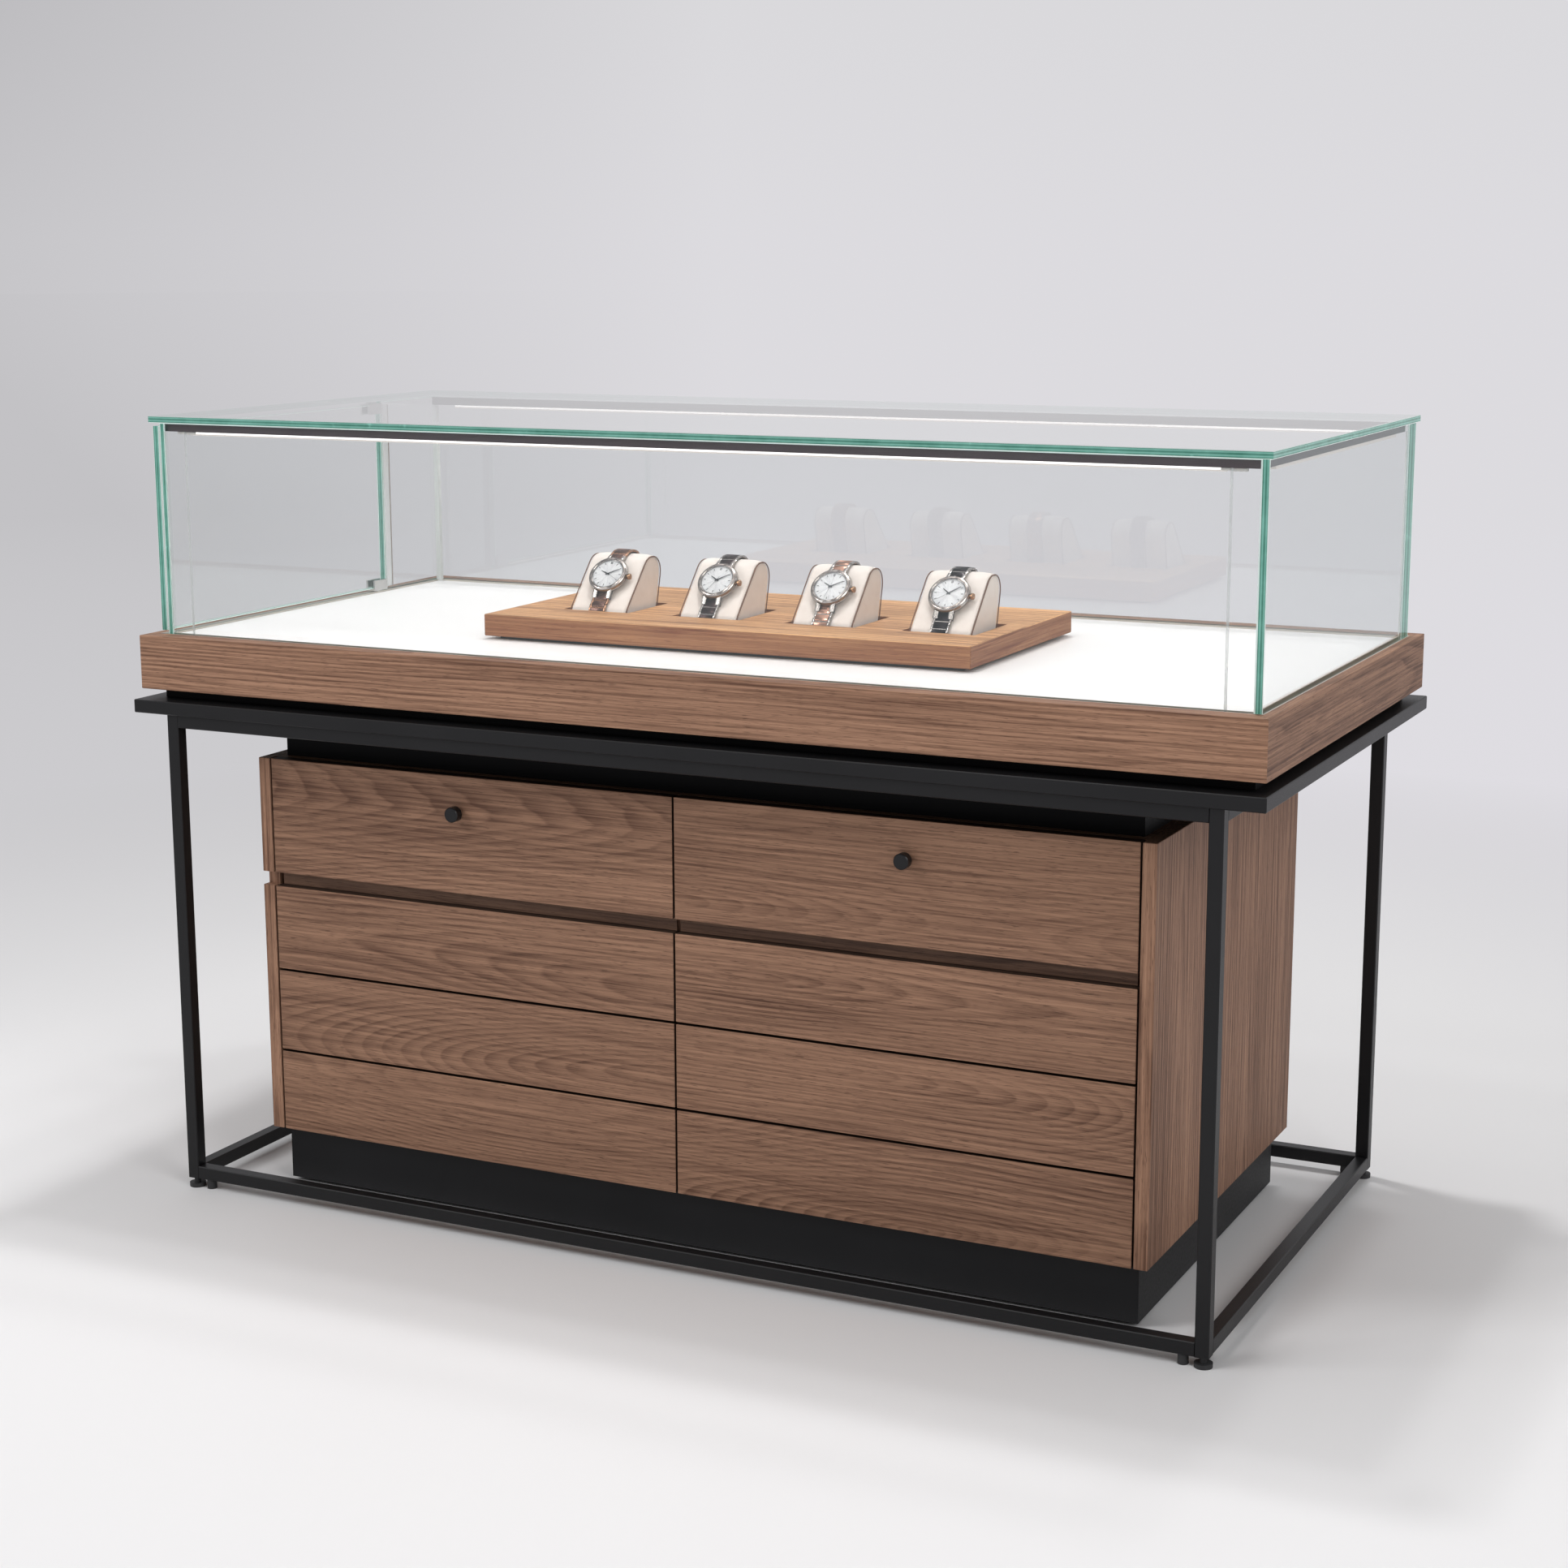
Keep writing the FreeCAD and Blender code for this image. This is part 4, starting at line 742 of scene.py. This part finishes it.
def cover():
    """The suede cover of one cushion, with each point's seam distance and run kept on it."""
    work = foam()
    raw = bpy.data.meshes.new("foam")
    work.to_mesh(raw)
    stand = added("foam_at_work", raw)
    remesh = stand.modifiers.new("even", "REMESH")
    remesh.mode = "VOXEL"
    remesh.voxel_size = CELL * MM
    even = evaluated(stand)
    seam_points = evenly(profile_loop(SEAM_SHARE, 0), SEAM_STEP * MM)
    tree = nearest_seam(seam_points)
    even = blown(even, tree)
    stand.modifiers.clear()
    stand.data = even
    finer = stand.modifiers.new("finer", "SUBSURF")
    finer.levels = finer.render_levels = 1
    fine = evaluated(stand)
    bpy.data.objects.remove(stand)
    work = bmesh.new()
    work.from_mesh(fine)
    seam_layer = work.verts.layers.float_vector.new("seam")
    for vert in work.verts:
        x, y, z = (value / MM for value in vert.co)
        if z < SOLE + CHANNEL_RISE and abs(x) < CHANNEL_HALF:
            vert.co.z = (SOLE + CHANNEL_RISE) * MM
        _, number, distance = tree.find(vert.co)
        run = (number % len(seam_points)) * SEAM_STEP
        vert[seam_layer] = (distance / MM, run, 0)
    return work, seam_points


# %% Suede
def suede():
    """Cream suede: a soft nap, a brown line beside the seam that is painted shade of the seam's crease, and
    stitches beside it.
    """
    finish = Finish("cream_suede")
    place = finish.workshop()
    distance, run, _ = finish.own("seam")
    nap = finish.speckle(place, 2.3, 3, 0.6)
    stroke = finish.speckle(place, 0.09, 3)
    pale = finish.blended(nap * 0.9 + stroke * 0.9 + 0.45, tone(250, 242, 235), tone(231, 219, 209))
    # Painted shade: a brown line 1 to 1.9 mm from the seam, where the seam's crease would be shaded; the
    # bump sinks it too.
    line = (distance - 1.0).between(0, 0.3) * (1.9 - distance).between(0, 0.4)
    pale = finish.mixed(line * 0.8, pale, tone(128, 96, 76))
    stitch = (distance - 3.1).between(0, 0.15) * (3.65 - distance).between(0, 0.15) * (
        (run / 3).fraction().below(0.62))
    pale = finish.mixed(stitch * 0.55, pale, tone(176, 150, 130))
    return finish.coated(
        Base_Color=pale,
        Roughness=nap * 0.1 + 0.86,
        Normal=finish.bumped(nap * 0.7 - line - stitch * 0.6, 0.00022),
        Sheen_Weight=0.35,
        Sheen_Roughness=0.5,
        Specular_IOR_Level=0.25,
    )


def cord_suede():
    """The thin brown cord in the seam."""
    finish = Finish("brown_seam_cord")
    nap = finish.speckle(finish.workshop(), 2.3, 3, 0.6)
    return finish.coated(
        Base_Color=finish.blended(nap + 0.5, tone(128, 94, 74), tone(98, 68, 50)),
        Roughness=nap * 0.1 + 0.8,
        Normal=finish.bumped(nap, 0.0001),
    )


suede_finish = suede()
cord_finish = cord_suede()


# %% Piping
CORD_RADIUS, CORD_OUT, CORD_STEP = 0.7, 0.1, 2


def piping(loop, side):
    """A thin tube along one seam, from a curve."""
    curve = bpy.data.curves.new("piping", "CURVE")
    curve.dimensions = "3D"
    line = curve.splines.new("POLY")
    line.points.add(len(loop) - 1)
    for point, place in zip(line.points, loop):
        point.co = (side * (SEAM + CORD_OUT) * MM, place.y, place.z, 1)
    line.use_cyclic_u = True
    curve.bevel_depth = CORD_RADIUS * MM
    curve.bevel_resolution = 2
    stand = added("piping_at_work", curve)
    mesh = evaluated(stand)
    bpy.data.objects.remove(stand)
    return mesh


# %% Four cushions
# The model's cushion starts this far in front of the workshop's zero.
FRONT_SET = 0.5625
body_work, seam_line = cover()
tray_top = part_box("tray")[1][2]
cushion_places = {}
for number in (1, 2, 3, 4):
    body = f"cushion_{number}"
    low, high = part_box(body)
    place = Matrix.Translation(((low[0] + high[0]) / 2, low[1] + FRONT_SET * MM, tray_top))
    cushion_places[number] = place
    piece = piece_from(f"suede_{body}", body_work.copy(), suede_finish, body, place)
    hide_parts(body)
    cords = bmesh.new()
    for side in (-1, 1):
        cords.from_mesh(piping(evenly(seam_line, CORD_STEP * MM), side))
    piece_from(f"cushion_piping_{number}", cords, cord_finish, body, place)
print("cushions at x", [round(place.translation.x, 4) for place in cushion_places.values()])

# %% [markdown]
# ## The watches
#
# A watch on its cushion is closed round it: the bracelet runs over the slope, the round top, down
# the back and through the channel in the sole. So the links are strung on one closed line round
# the cushion's D. Case, bezel, crystal and crown are turned; the lugs and links are blocks with
# eased edges; dial marks and hands lie on the dial.

# %% The line that the bracelet follows
STRAP_SHARE, STRAP_RISE = 1.02, 5
LINK_OUT = 2.1
LINE_STEP = 0.8
WATCH_PLACE = 0.56


def bracelet_line():
    """Even points on a closed line round the cushion, along the middle of the links."""
    loop = profile_loop(STRAP_SHARE, STRAP_RISE)
    middle = sum(loop, Vector()) / len(loop)
    lifted = []
    for index, point in enumerate(loop):
        heading = loop[(index + 1) % len(loop)] - loop[index - 1]
        outward = Vector((0, heading.z, -heading.y)).normalized()
        if outward.dot(point - middle) < 0:
            outward.negate()
        lifted.append(point + outward * LINK_OUT * MM)
    return evenly(lifted, LINE_STEP * MM)


def watch_stand():
    """The watch's place on the slope: a matrix whose Z is the dial's normal."""
    knee, brow = profile_corners(STRAP_SHARE, STRAP_RISE)[1:3]
    low = Vector((0, knee[0], knee[1])) * MM
    high = Vector((0, brow[0], brow[1])) * MM
    along = (high - low).normalized()
    return framed(low.lerp(high, WATCH_PLACE), along)


def framed(point, heading):
    """A matrix at a point with X across, Y along the heading and Z outward."""
    across = Vector((1, 0, 0))
    outward = across.cross(heading)
    return Matrix.Translation(point) @ Matrix((across, heading, outward)).transposed().to_4x4()


def walk(points, start, distance):
    """The point and heading a distance along a closed chain of points."""
    index, left = start, distance
    while True:
        here, there = points[index % len(points)], points[(index + 1) % len(points)]
        gap = (there - here).length
        if left <= gap:
            return here.lerp(there, left / gap), (there - here).normalized()
        left -= gap
        index += 1


line_points = bracelet_line()
stand_place = watch_stand()
begin = min(range(len(line_points)),
            key=lambda index: (line_points[index] - stand_place.translation).length)
uphill = stand_place.to_3x3() @ Vector((0, 1, 0))
if (line_points[(begin + 1) % len(line_points)] - line_points[begin]).dot(uphill) < 0:
    line_points.reverse()
    begin = len(line_points) - 1 - begin
around = sum((line_points[index] - line_points[index - 1]).length for index in range(len(line_points)))
print("the bracelet's line is", round(around / MM, 1), "mm round")

# %% Bracelet
HEAD_HALF = 30.5
WANTED_PITCH = 10.2
room = around / MM - 2 * HEAD_HALF
LINKS = round(room / WANTED_PITCH)
PITCH = room / LINKS
BAR_HALF, SIDE_WIDTH = 8.5, 2.7


def link_place(index):
    """A matrix on the bracelet's line, a number of links on from the watch head."""
    point, heading = walk(line_points, begin, (HEAD_HALF + PITCH * index) * MM)
    return framed(point, heading)


def bracelet_sides():
    """H-shaped links: two bright side blocks and the bar that joins them under the middle."""
    work = bmesh.new()
    for index in range(LINKS):
        turn = link_place(index + 0.5)
        for low_x in (-BAR_HALF - SIDE_WIDTH, BAR_HALF):
            add_block(work, (low_x, -4.6, -1.5), (low_x + SIDE_WIDTH, 4.6, 1.5), 0.7, 2, turn)
        add_block(work, (-BAR_HALF, -0.9, -1.2), (BAR_HALF, 0.9, 1.3), 0.4, 1, turn)
    return work


def bracelet_middles():
    """The middle blocks, in the watch's own second colour."""
    work = bmesh.new()
    for index in (-0.45, *range(LINKS + 1), LINKS + 0.45):
        half = 8.4 if index == int(index) else 6.9
        add_block(work, (-half, -4.2, -1.5), (half, 4.2, 1.8), 0.7, 2, link_place(index))
    return work


# %% Case, lugs and bezel
def watch_case():
    work = lathe(((0, 0.5), (17.4, 0.5), (18.2, 0.8), (23.4, 2.7), (25.1, 3.9), (25.5, 5), (25.2, 6.6),
                  (24.5, 8), (24.2, 8.9), (20.9, 9.3), (20.5, 9.2), (19.5, 8.5), (0, 8.5)), 96)
    for end in (-1, 1):
        for side in (-1, 1):
            verts = add_block(work, (side * 9.3 - 2.1, 0, 0), (side * 9.3 + 2.1, 1, 1))
            for vert in verts:
                far = vert.co.y > 0.5 * MM
                high = vert.co.z > 0.5 * MM
                vert.co.y = end * (31.4 if far else 18.5) * MM
                vert.co.z = ((4.3 if high else 0.4) if far else (8.4 if high else 3.2)) * MM
            ease_edges(work, verts, 0.8, 3)
    bmesh.ops.recalc_face_normals(work, faces=work.faces)
    return work


def watch_bezel():
    work = lathe(((20.3, 9.1), (20.3, 10.3), (20.7, 10.7), (21.8, 10.8), (23.4, 10.2), (24.4, 9.3),
                  (24.3, 8.8)), 144, closed=True)
    flute(work, 24.0, 0.988, 144)
    return work


def watch_crown():
    work = lathe(((0, 0), (1.8, 0), (1.8, 0.8), (3.2, 1.1), (3.8, 1.8), (3.9, 4.2), (3.4, 5.2), (1.8, 5.8),
                  (0, 5.9)), 36)
    flute(work, 3.5, 0.94, 36)
    turn = Matrix.Translation((25.0 * MM, 0, 5.2 * MM)) @ Matrix.Rotation(math.pi / 2, 4, "Y")
    bmesh.ops.transform(work, matrix=turn, verts=work.verts)
    return work


# %% Dial, marks, hands and crystal
DIAL_RADIUS, DIAL_TOP = 19.5, 8.75
MARK_START, MARK_END, MARK_TOP, MARK_EASE = 15, 17.8, 9.1, 0.12
HANDS = ((10.6, 1.0, 2.4, 9.15), (16.0, 0.85, 2.8, 9.5), (16.6, 0.16, 5.0, 9.8))
HAND_WALL, HAND_TAPER = 0.18, 0.4


def watch_dial():
    return lathe(((0, 8.6), (DIAL_RADIUS, 8.6), (DIAL_RADIUS, DIAL_TOP), (0, DIAL_TOP)), 96)


def watch_marks():
    """Twelve applied batons, doubled and a little longer at the top."""
    work = bmesh.new()
    for hour in range(12):
        turn = Matrix.Rotation(math.radians(30 * hour), 4, "Z")
        batons = ((-0.4, 0.4, MARK_START),) if hour else ((-1.1, -0.3, 14.6), (0.3, 1.1, 14.6))
        for left, right, start in batons:
            add_block(work, (left, start, DIAL_TOP), (right, MARK_END, MARK_TOP), MARK_EASE, 1, turn)
    return work


def watch_hands(*turns):
    """Three tapered hands on a small cap; turns are in degrees, clockwise from the top."""
    work = lathe(((0, DIAL_TOP), (0.8, DIAL_TOP), (0.8, 10.05), (0, 10.15)), 20)
    for turn, (length, width, tail, level) in zip(turns, HANDS):
        verts = add_block(work, (-width, -tail, level), (width, length, level + HAND_WALL))
        for vert in verts:
            if vert.co.y > 0:
                vert.co.x *= HAND_TAPER
        bmesh.ops.transform(work, matrix=Matrix.Rotation(math.radians(-turn), 4, "Z"), verts=verts)
    return work


def watch_crystal():
    return lathe(((0, 10.3), (20.4, 10.15), (20.45, 10.5), (18.5, 10.75), (12, 10.98), (0, 11.1)), 72)


# %% [markdown]
# ## Watch finishes
#
# Polished and brushed steel, rose gold, and four different middle colours for the bracelets, as
# in the photograph. The dial is silver white with rays that spread from the centre, so its
# pattern is worked out from the angle about the centre.

# %% Watch metals
def watch_metal(name, colour, rough, brush=0.6, metallic=1.0):
    finish = Finish(name)
    x, y, z = place = finish.workshop()
    lines = finish.noise(x * 0.4, y * 9, z * 9, 2)
    wear = finish.speckle(place, 0.3, 3)
    return finish.coated(
        Base_Color=finish.blended(lines * brush + wear * 0.6 + 0.35, colour, dimmed(colour, 0.72)),
        Metallic=metallic,
        Roughness=lines * 0.16 * brush + wear * 0.06 + rough,
        Normal=finish.bumped(lines, 0.00001),
    )


def metal_with_painted_reflections(name, colour, dark):
    """Polished metal of a round piece, painted bright and dark round its axis and with its distance from
    the centre: painted reflections.
    """
    finish = Finish(name)
    x, y, z = finish.workshop()
    angle = x.angle(y)
    painted_reflection_sectors = finish.noise(angle * 2.6, z * 0.5, 3.3, 3, 0.65)
    painted_reflection_rings = finish.noise((x * x + y * y) ** 0.5 * 1.6, z * 1.6, 0.7, 2)
    return finish.coated(
        Base_Color=finish.blended(painted_reflection_sectors * 2.4 + painted_reflection_rings * 1.8 + 0.42, colour, dark),
        Metallic=1.0, Roughness=painted_reflection_sectors * 0.1 + 0.2)


steel = watch_metal("watch_steel", tone(176, 171, 167), 0.2)
# The bezel and the crown get painted reflections in their colour.
bezel_steel = metal_with_painted_reflections("bezel_steel", tone(218, 210, 204), tone(92, 80, 74))
rose = watch_metal("rose_gold", tone(178, 138, 112), 0.24)
crown_gold = metal_with_painted_reflections("crown_gold", tone(196, 156, 122), tone(78, 54, 40))
middle_finishes = {
    1: watch_metal("smoked_rose", tone(112, 86, 78), 0.26),
    2: watch_metal("dark_bronze", tone(62, 50, 50), 0.26),
    3: watch_metal("rose_blocks", tone(180, 142, 124), 0.24),
    4: watch_metal("black_blocks", tone(36, 32, 34), 0.24, 0.2),
}
ink = watch_metal("blued_ink", tone(20, 20, 24), 0.4, 0.2, 0.0)


# %% Dial face and crystal finish
def dial_face(name, seed):
    """Silver white with rays, and a fine minute track near the rim."""
    finish = Finish(name)
    x, y, z = finish.workshop()
    radius = (x * x + y * y) ** 0.5
    angle = x.angle(y)
    ray = finish.noise(angle * 7, radius * 0.05 + seed, 0.5, 3, 0.7)
    broad = finish.noise(angle * 1.6, radius * 0.02 + seed, 1.5, 2)
    face = finish.blended(ray * 1.7 + broad * 0.8 + 0.1, tone(250, 250, 250), tone(170, 171, 176))
    tick = (angle * (60 / (2 * math.pi)) + 30.5).fraction()
    tick = (tick - 0.42).above(0) * (0.58 - tick).above(0)
    track = tick * (radius - 17.9).above(0) * (18.9 - radius).above(0)
    ring = radius.above(19.0)
    face = finish.mixed(track.or_more(ring) * 0.8, face, tone(70, 70, 76))
    return finish.coated(Base_Color=face, Roughness=ray * 0.1 + 0.34)


def crystal_finish():
    finish = Finish("sapphire_crystal")
    smear = finish.speckle(finish.own("own"), 200)
    return finish.coated(Base_Color=tone(235, 240, 244), Metallic=1.0,
                         Roughness=smear * 0.02 + 0.02, Alpha=finish.mirror() * 0.7)


crystal = crystal_finish()
TIMES = {1: (292, 62, 120), 2: (300, 58, 205), 3: (298, 60, 190), 4: (306, 52, 232)}

# %% Four watches
for number, place in cushion_places.items():
    stand = place @ stand_place
    case = piece_from(f"watch_case_{number}", watch_case(), steel, f"cushion_{number}",
                      stand)
    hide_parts(f"watch_{number}")
    for name, work, finish, slot, where in (
        ("watch_bezel", watch_bezel(), bezel_steel, "watch_steel", stand),
        ("watch_crown", watch_crown(), crown_gold, "watch_steel", stand),
        ("watch_dial", watch_dial(), dial_face(f"dial_{number}", number * 3.7), "watch_steel", stand),
        ("watch_marks", watch_marks(), ink, "watch_steel", stand),
        ("watch_hands", watch_hands(*TIMES[number]), ink, "watch_steel", stand),
        ("watch_crystal", watch_crystal(), crystal, "glass", stand),
        ("bracelet_sides", bracelet_sides(), rose if number == 1 else steel, "watch_steel", place),
        ("bracelet_middles", bracelet_middles(), middle_finishes[number], "watch_steel", place),
    ):
        piece_from(f"{name}_{number}", work, finish, f"cushion_{number}", where)
print(LINKS, "links in each bracelet,", round(PITCH, 2), "mm apart")

# %% [markdown]
# ## Small trims of the case
#
# A clear seal with a grey edge stands between the door and the fixed pane, a bead of clear adhesive fills
# the upright inside corners, and a thin flat lead runs up the inside of the front glass at each end to
# small connectors under the light profile. The bead is near white and almost opaque: a painted highlight
# along each corner, where the real bead is clear. All are thin trim of a few blocks, so they are made here,
# from the corners of the pieces that they touch, in millimetres.

# %% Clear plastic
def clear_plastic(name, colour, alpha):
    finish = Finish(name)
    x, y, z = finish.place()
    ripple = finish.noise(x * 40, y * 40, z * 12, 3)
    return finish.coated(
        Base_Color=finish.blended(ripple + 0.5, colour, tone(214, 216, 214)),
        Roughness=ripple * 0.1 + 0.22,
        Alpha=ripple * 0.2 + alpha,
    )


def box_corners(node):
    """A node's lowest and highest corners in millimetres."""
    return [[value / MM for value in corner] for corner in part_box(node)]


def trim(name, blocks, finish):
    """One piece on the island, of blocks given as (low corner, high corner, eased edge)."""
    work = bmesh.new()
    for block in blocks:
        add_block(work, *block)
    piece_from(name, work, finish, "island", smooth=False)


# %% Seal between the door and the fixed pane
HAIR, FIN_WALL, FIN_REACH, EDGE_WIDTH, DOOR_AIR = 0.1, 1.0, 13, 2, 0.9
door_low, door_high = box_corners("door_glass")
fixed_low, fixed_high = box_corners("glass_left")
fin_start, fin_end = fixed_low[1] - HAIR, fixed_low[1] + FIN_REACH
seal = [((fixed_low[0], door_high[1] + DOOR_AIR, door_low[2]),
         (fixed_high[0], fin_start, door_high[2]), 0.2)]
for low_x in (fixed_low[0] - HAIR - FIN_WALL, fixed_high[0] + HAIR):
    seal.append(((low_x, fin_start, door_low[2]), (low_x + FIN_WALL, fin_end, door_high[2]), 0.3))
trim("door_seal", seal, clear_plastic("seal_plastic", tone(236, 240, 238), 0.4))
edge_low = (fixed_high[0] + HAIR, fin_end + HAIR, door_low[2])
edge_high = (fixed_high[0] + HAIR + FIN_WALL, fin_end + HAIR + EDGE_WIDTH, door_high[2])
trim("door_seal_edge", [(edge_low, edge_high, 0.3)],
     laminate("seal_edge_grey", tone(150, 139, 132), tone(132, 121, 114)))

# %% Leads and their connectors
CLEAR = 0.2
LEAD_INSET, LEAD_WIDTH, LEAD_WALL = 33, 3.2, 0.5
CONNECTOR_NEAR, CONNECTOR_FAR = 1.4, 8
CONNECTORS = ((-12, -1, 3), (1, 15, 3.6))
front_low, front_high = box_corners("glass_front")
glass_in = front_high[1]
strip_low = box_corners("led_profiles")[0][2]
deck_top = box_corners("deck_panel")[1][2]
leads, connectors = [], []
for side in (-1, 1):
    middle = side * (front_high[0] - LEAD_INSET)
    leads.append(((middle - LEAD_WIDTH / 2, glass_in + CLEAR, deck_top + CLEAR),
                  (middle + LEAD_WIDTH / 2, glass_in + CLEAR + LEAD_WALL, strip_low - CLEAR), 0.15))
    for start, end, drop in CONNECTORS:
        connectors.append(((middle + start, glass_in + CONNECTOR_NEAR, strip_low - drop),
                           (middle + end, glass_in + CONNECTOR_FAR, strip_low), 0.5))
trim("light_leads", leads, clear_plastic("lead_film", tone(226, 230, 229), 0.35))
trim("light_connectors", connectors,
     laminate("connector_white", tone(226, 222, 218), tone(210, 206, 202)))

# %% Beads in the corners
BEAD, DOOR_POST_BEAD, BEAD_FOOT = 1.4, 7, 0.3
right_in = box_corners("glass_right")[0][0]
beads = [((low_x, low_y, deck_top + BEAD_FOOT), (low_x + wide, low_y + wide, strip_low - CLEAR), 0.3)
         for low_x, low_y, wide in ((front_low[0], glass_in, BEAD),
                                    (right_in - BEAD, glass_in, BEAD),
                                    (fixed_high[0], -glass_in - DOOR_POST_BEAD, DOOR_POST_BEAD),
                                    (right_in - BEAD, -glass_in - BEAD, BEAD))]
# The bead's near-white, nearly opaque colour is a painted highlight along each inside corner.
trim("corner_beads", beads, clear_plastic("bright_bead_painted_highlight", tone(246, 249, 248), 0.8))
print("seal, leads, connectors and beads done")

# %% [markdown]
# ## Floor and light
#
# The object stands on a pale sweep: nearly white on the floor and light grey above. A wall would
# stand in the way of views from behind, so the floor is a large disc whose colour turns to the
# grey of the surroundings with distance, and the surroundings show that grey to the camera and in
# reflections, while lighting the object evenly.

# %% Floor
GREYS_ABOVE = tone(184, 183, 186), tone(218, 217, 220)
GREYS_BELOW = tone(205, 204, 207), tone(223, 221, 226)
DARK_UNTIL, PALE_FROM = -0.7, -0.46
FLOOR_RADIUS = 60


def backdrop(finish, level, nearness):
    """The grey of the surroundings: darker to the left, lighter where the sweep meets the floor."""
    share = level.between(DARK_UNTIL, PALE_FROM)
    above = finish.mixed(share, *GREYS_ABOVE)
    below = finish.mixed(share, *GREYS_BELOW)
    return finish.mixed(nearness, above, below)


def seen_by_eye(finish):
    """1 for what the camera sees, straight, in a mirror or through glass, and 0 for light."""
    path = finish.node("ShaderNodeLightPath")
    camera_ray, glossy, through = (Amount(finish, path.outputs[name]) for name in
                                   ("Is Camera Ray", "Is Glossy Ray", "Is Transmission Ray"))
    return camera_ray.or_more(glossy).or_more(through)


def floor_finish():
    """A pale floor that takes on the grey of the surroundings with distance."""
    finish = Finish("studio_floor")
    x, y, z = finish.place()
    reach = (x * x + y * y) ** 0.5
    far = reach.between(1.25, 3.0)
    cloud = finish.noise(x * 0.8, y * 0.8, 0.3, 3)
    lit = finish.surface(
        Base_Color=finish.blended(cloud + 0.5, tone(229, 228, 229), tone(234, 233, 234)),
        Roughness=cloud * 0.05 + 0.62, Specular_IOR_Level=0.25)
    nearness = reach.between(9, 2.5) * 0.5 + 0.5
    distant = finish.node("ShaderNodeEmission", None, {0: backdrop(finish, x / reach, nearness)}).outputs[0]
    return finish.done(finish.either(far * seen_by_eye(finish), lit, distant))


floor_work = bmesh.new()
bmesh.ops.create_circle(floor_work, cap_ends=True, radius=FLOOR_RADIUS, segments=96)
floor_mesh = bpy.data.meshes.new("studio_floor")
floor_work.to_mesh(floor_mesh)
floor_mesh.materials.append(floor_finish())
added("studio_floor", floor_mesh)
print("floor disc of", FLOOR_RADIUS, "m radius")

# %% Surroundings
class Surroundings(Finish):
    """The world's nodes, made with the same methods as a finish."""

    def __init__(self, name):
        self.world = bpy.data.worlds.new(name)
        self.world.use_nodes = True
        self.tree = self.world.node_tree
        self.tree.nodes.clear()


studio = Surroundings("studio")
x, y, z = studio.split(studio.node("ShaderNodeTexCoord").outputs["Generated"])
level = x / (x * x + y * y) ** 0.5
shown = studio.node("ShaderNodeBackground", None,
                    {0: backdrop(studio, level, z.between(0.08, 0) * 0.5)})
lighting = studio.node("ShaderNodeBackground", None, {0: (1, 1, 1, 1), 1: 0.29})
both = studio.either(seen_by_eye(studio), lighting.outputs[0], shown.outputs[0])
studio.node("ShaderNodeOutputWorld", None, {0: both})
scene.world = studio.world

# %% [markdown]
# ## Lamps
#
# Six soft rectangles light the object: one overhead, three smaller ones, and two from the front.
# A pane would show each lamp as a hard white patch in some views from above, so the lamps' light
# leaves the panes out. What a pane shows then comes from the surroundings alone.

# %% Lamps
panes = bpy.data.collections.new("panes_off_the_lamps")
for name in ("glass_front", "glass_back", "glass_right", "glass_left", "glass_top", "door_glass"):
    panes.objects.link(nodes[name])
for member in panes.collection_objects:
    member.light_linking.link_state = "EXCLUDE"

LAMPS = {
    # name: place, aimed at, width, height (metres), power (watts)
    "overhead": ((-0.2, 0.3, 3.6), (0, 0, 0.4), 3.2, 2.2, 22),
    "spot_left": ((-0.22, 0.57, 4.0), (0, 0, 0), 0.3, 0.22, 46),
    "spot_right": ((0.64, 1.06, 4.0), (0, 0, 0), 0.3, 0.22, 16),
    "spot_front": ((-0.6, -1.9, 3.9), (0, -0.5, 0), 0.6, 0.5, 18),
    "left_front": ((-2.8, -2.8, 2.8), (0, 0, 0.5), 1.6, 1.6, 56),
    "right_front": ((3.2, -2.2, 2.7), (0.2, 0, 0.5), 1.6, 1.6, 48),
}
for name, (place, aim, width, height, power) in LAMPS.items():
    data = bpy.data.lights.new(name, "AREA")
    data.shape = "RECTANGLE"
    data.size = width
    data.size_y = height
    data.energy = power
    lamp = added(name, data)
    lamp.location = place
    lamp.rotation_euler = (Vector(aim) - Vector(place)).to_track_quat("-Z", "Y").to_euler()
    lamp.light_linking.receiver_collection = panes

scene.view_settings.view_transform = "Standard"
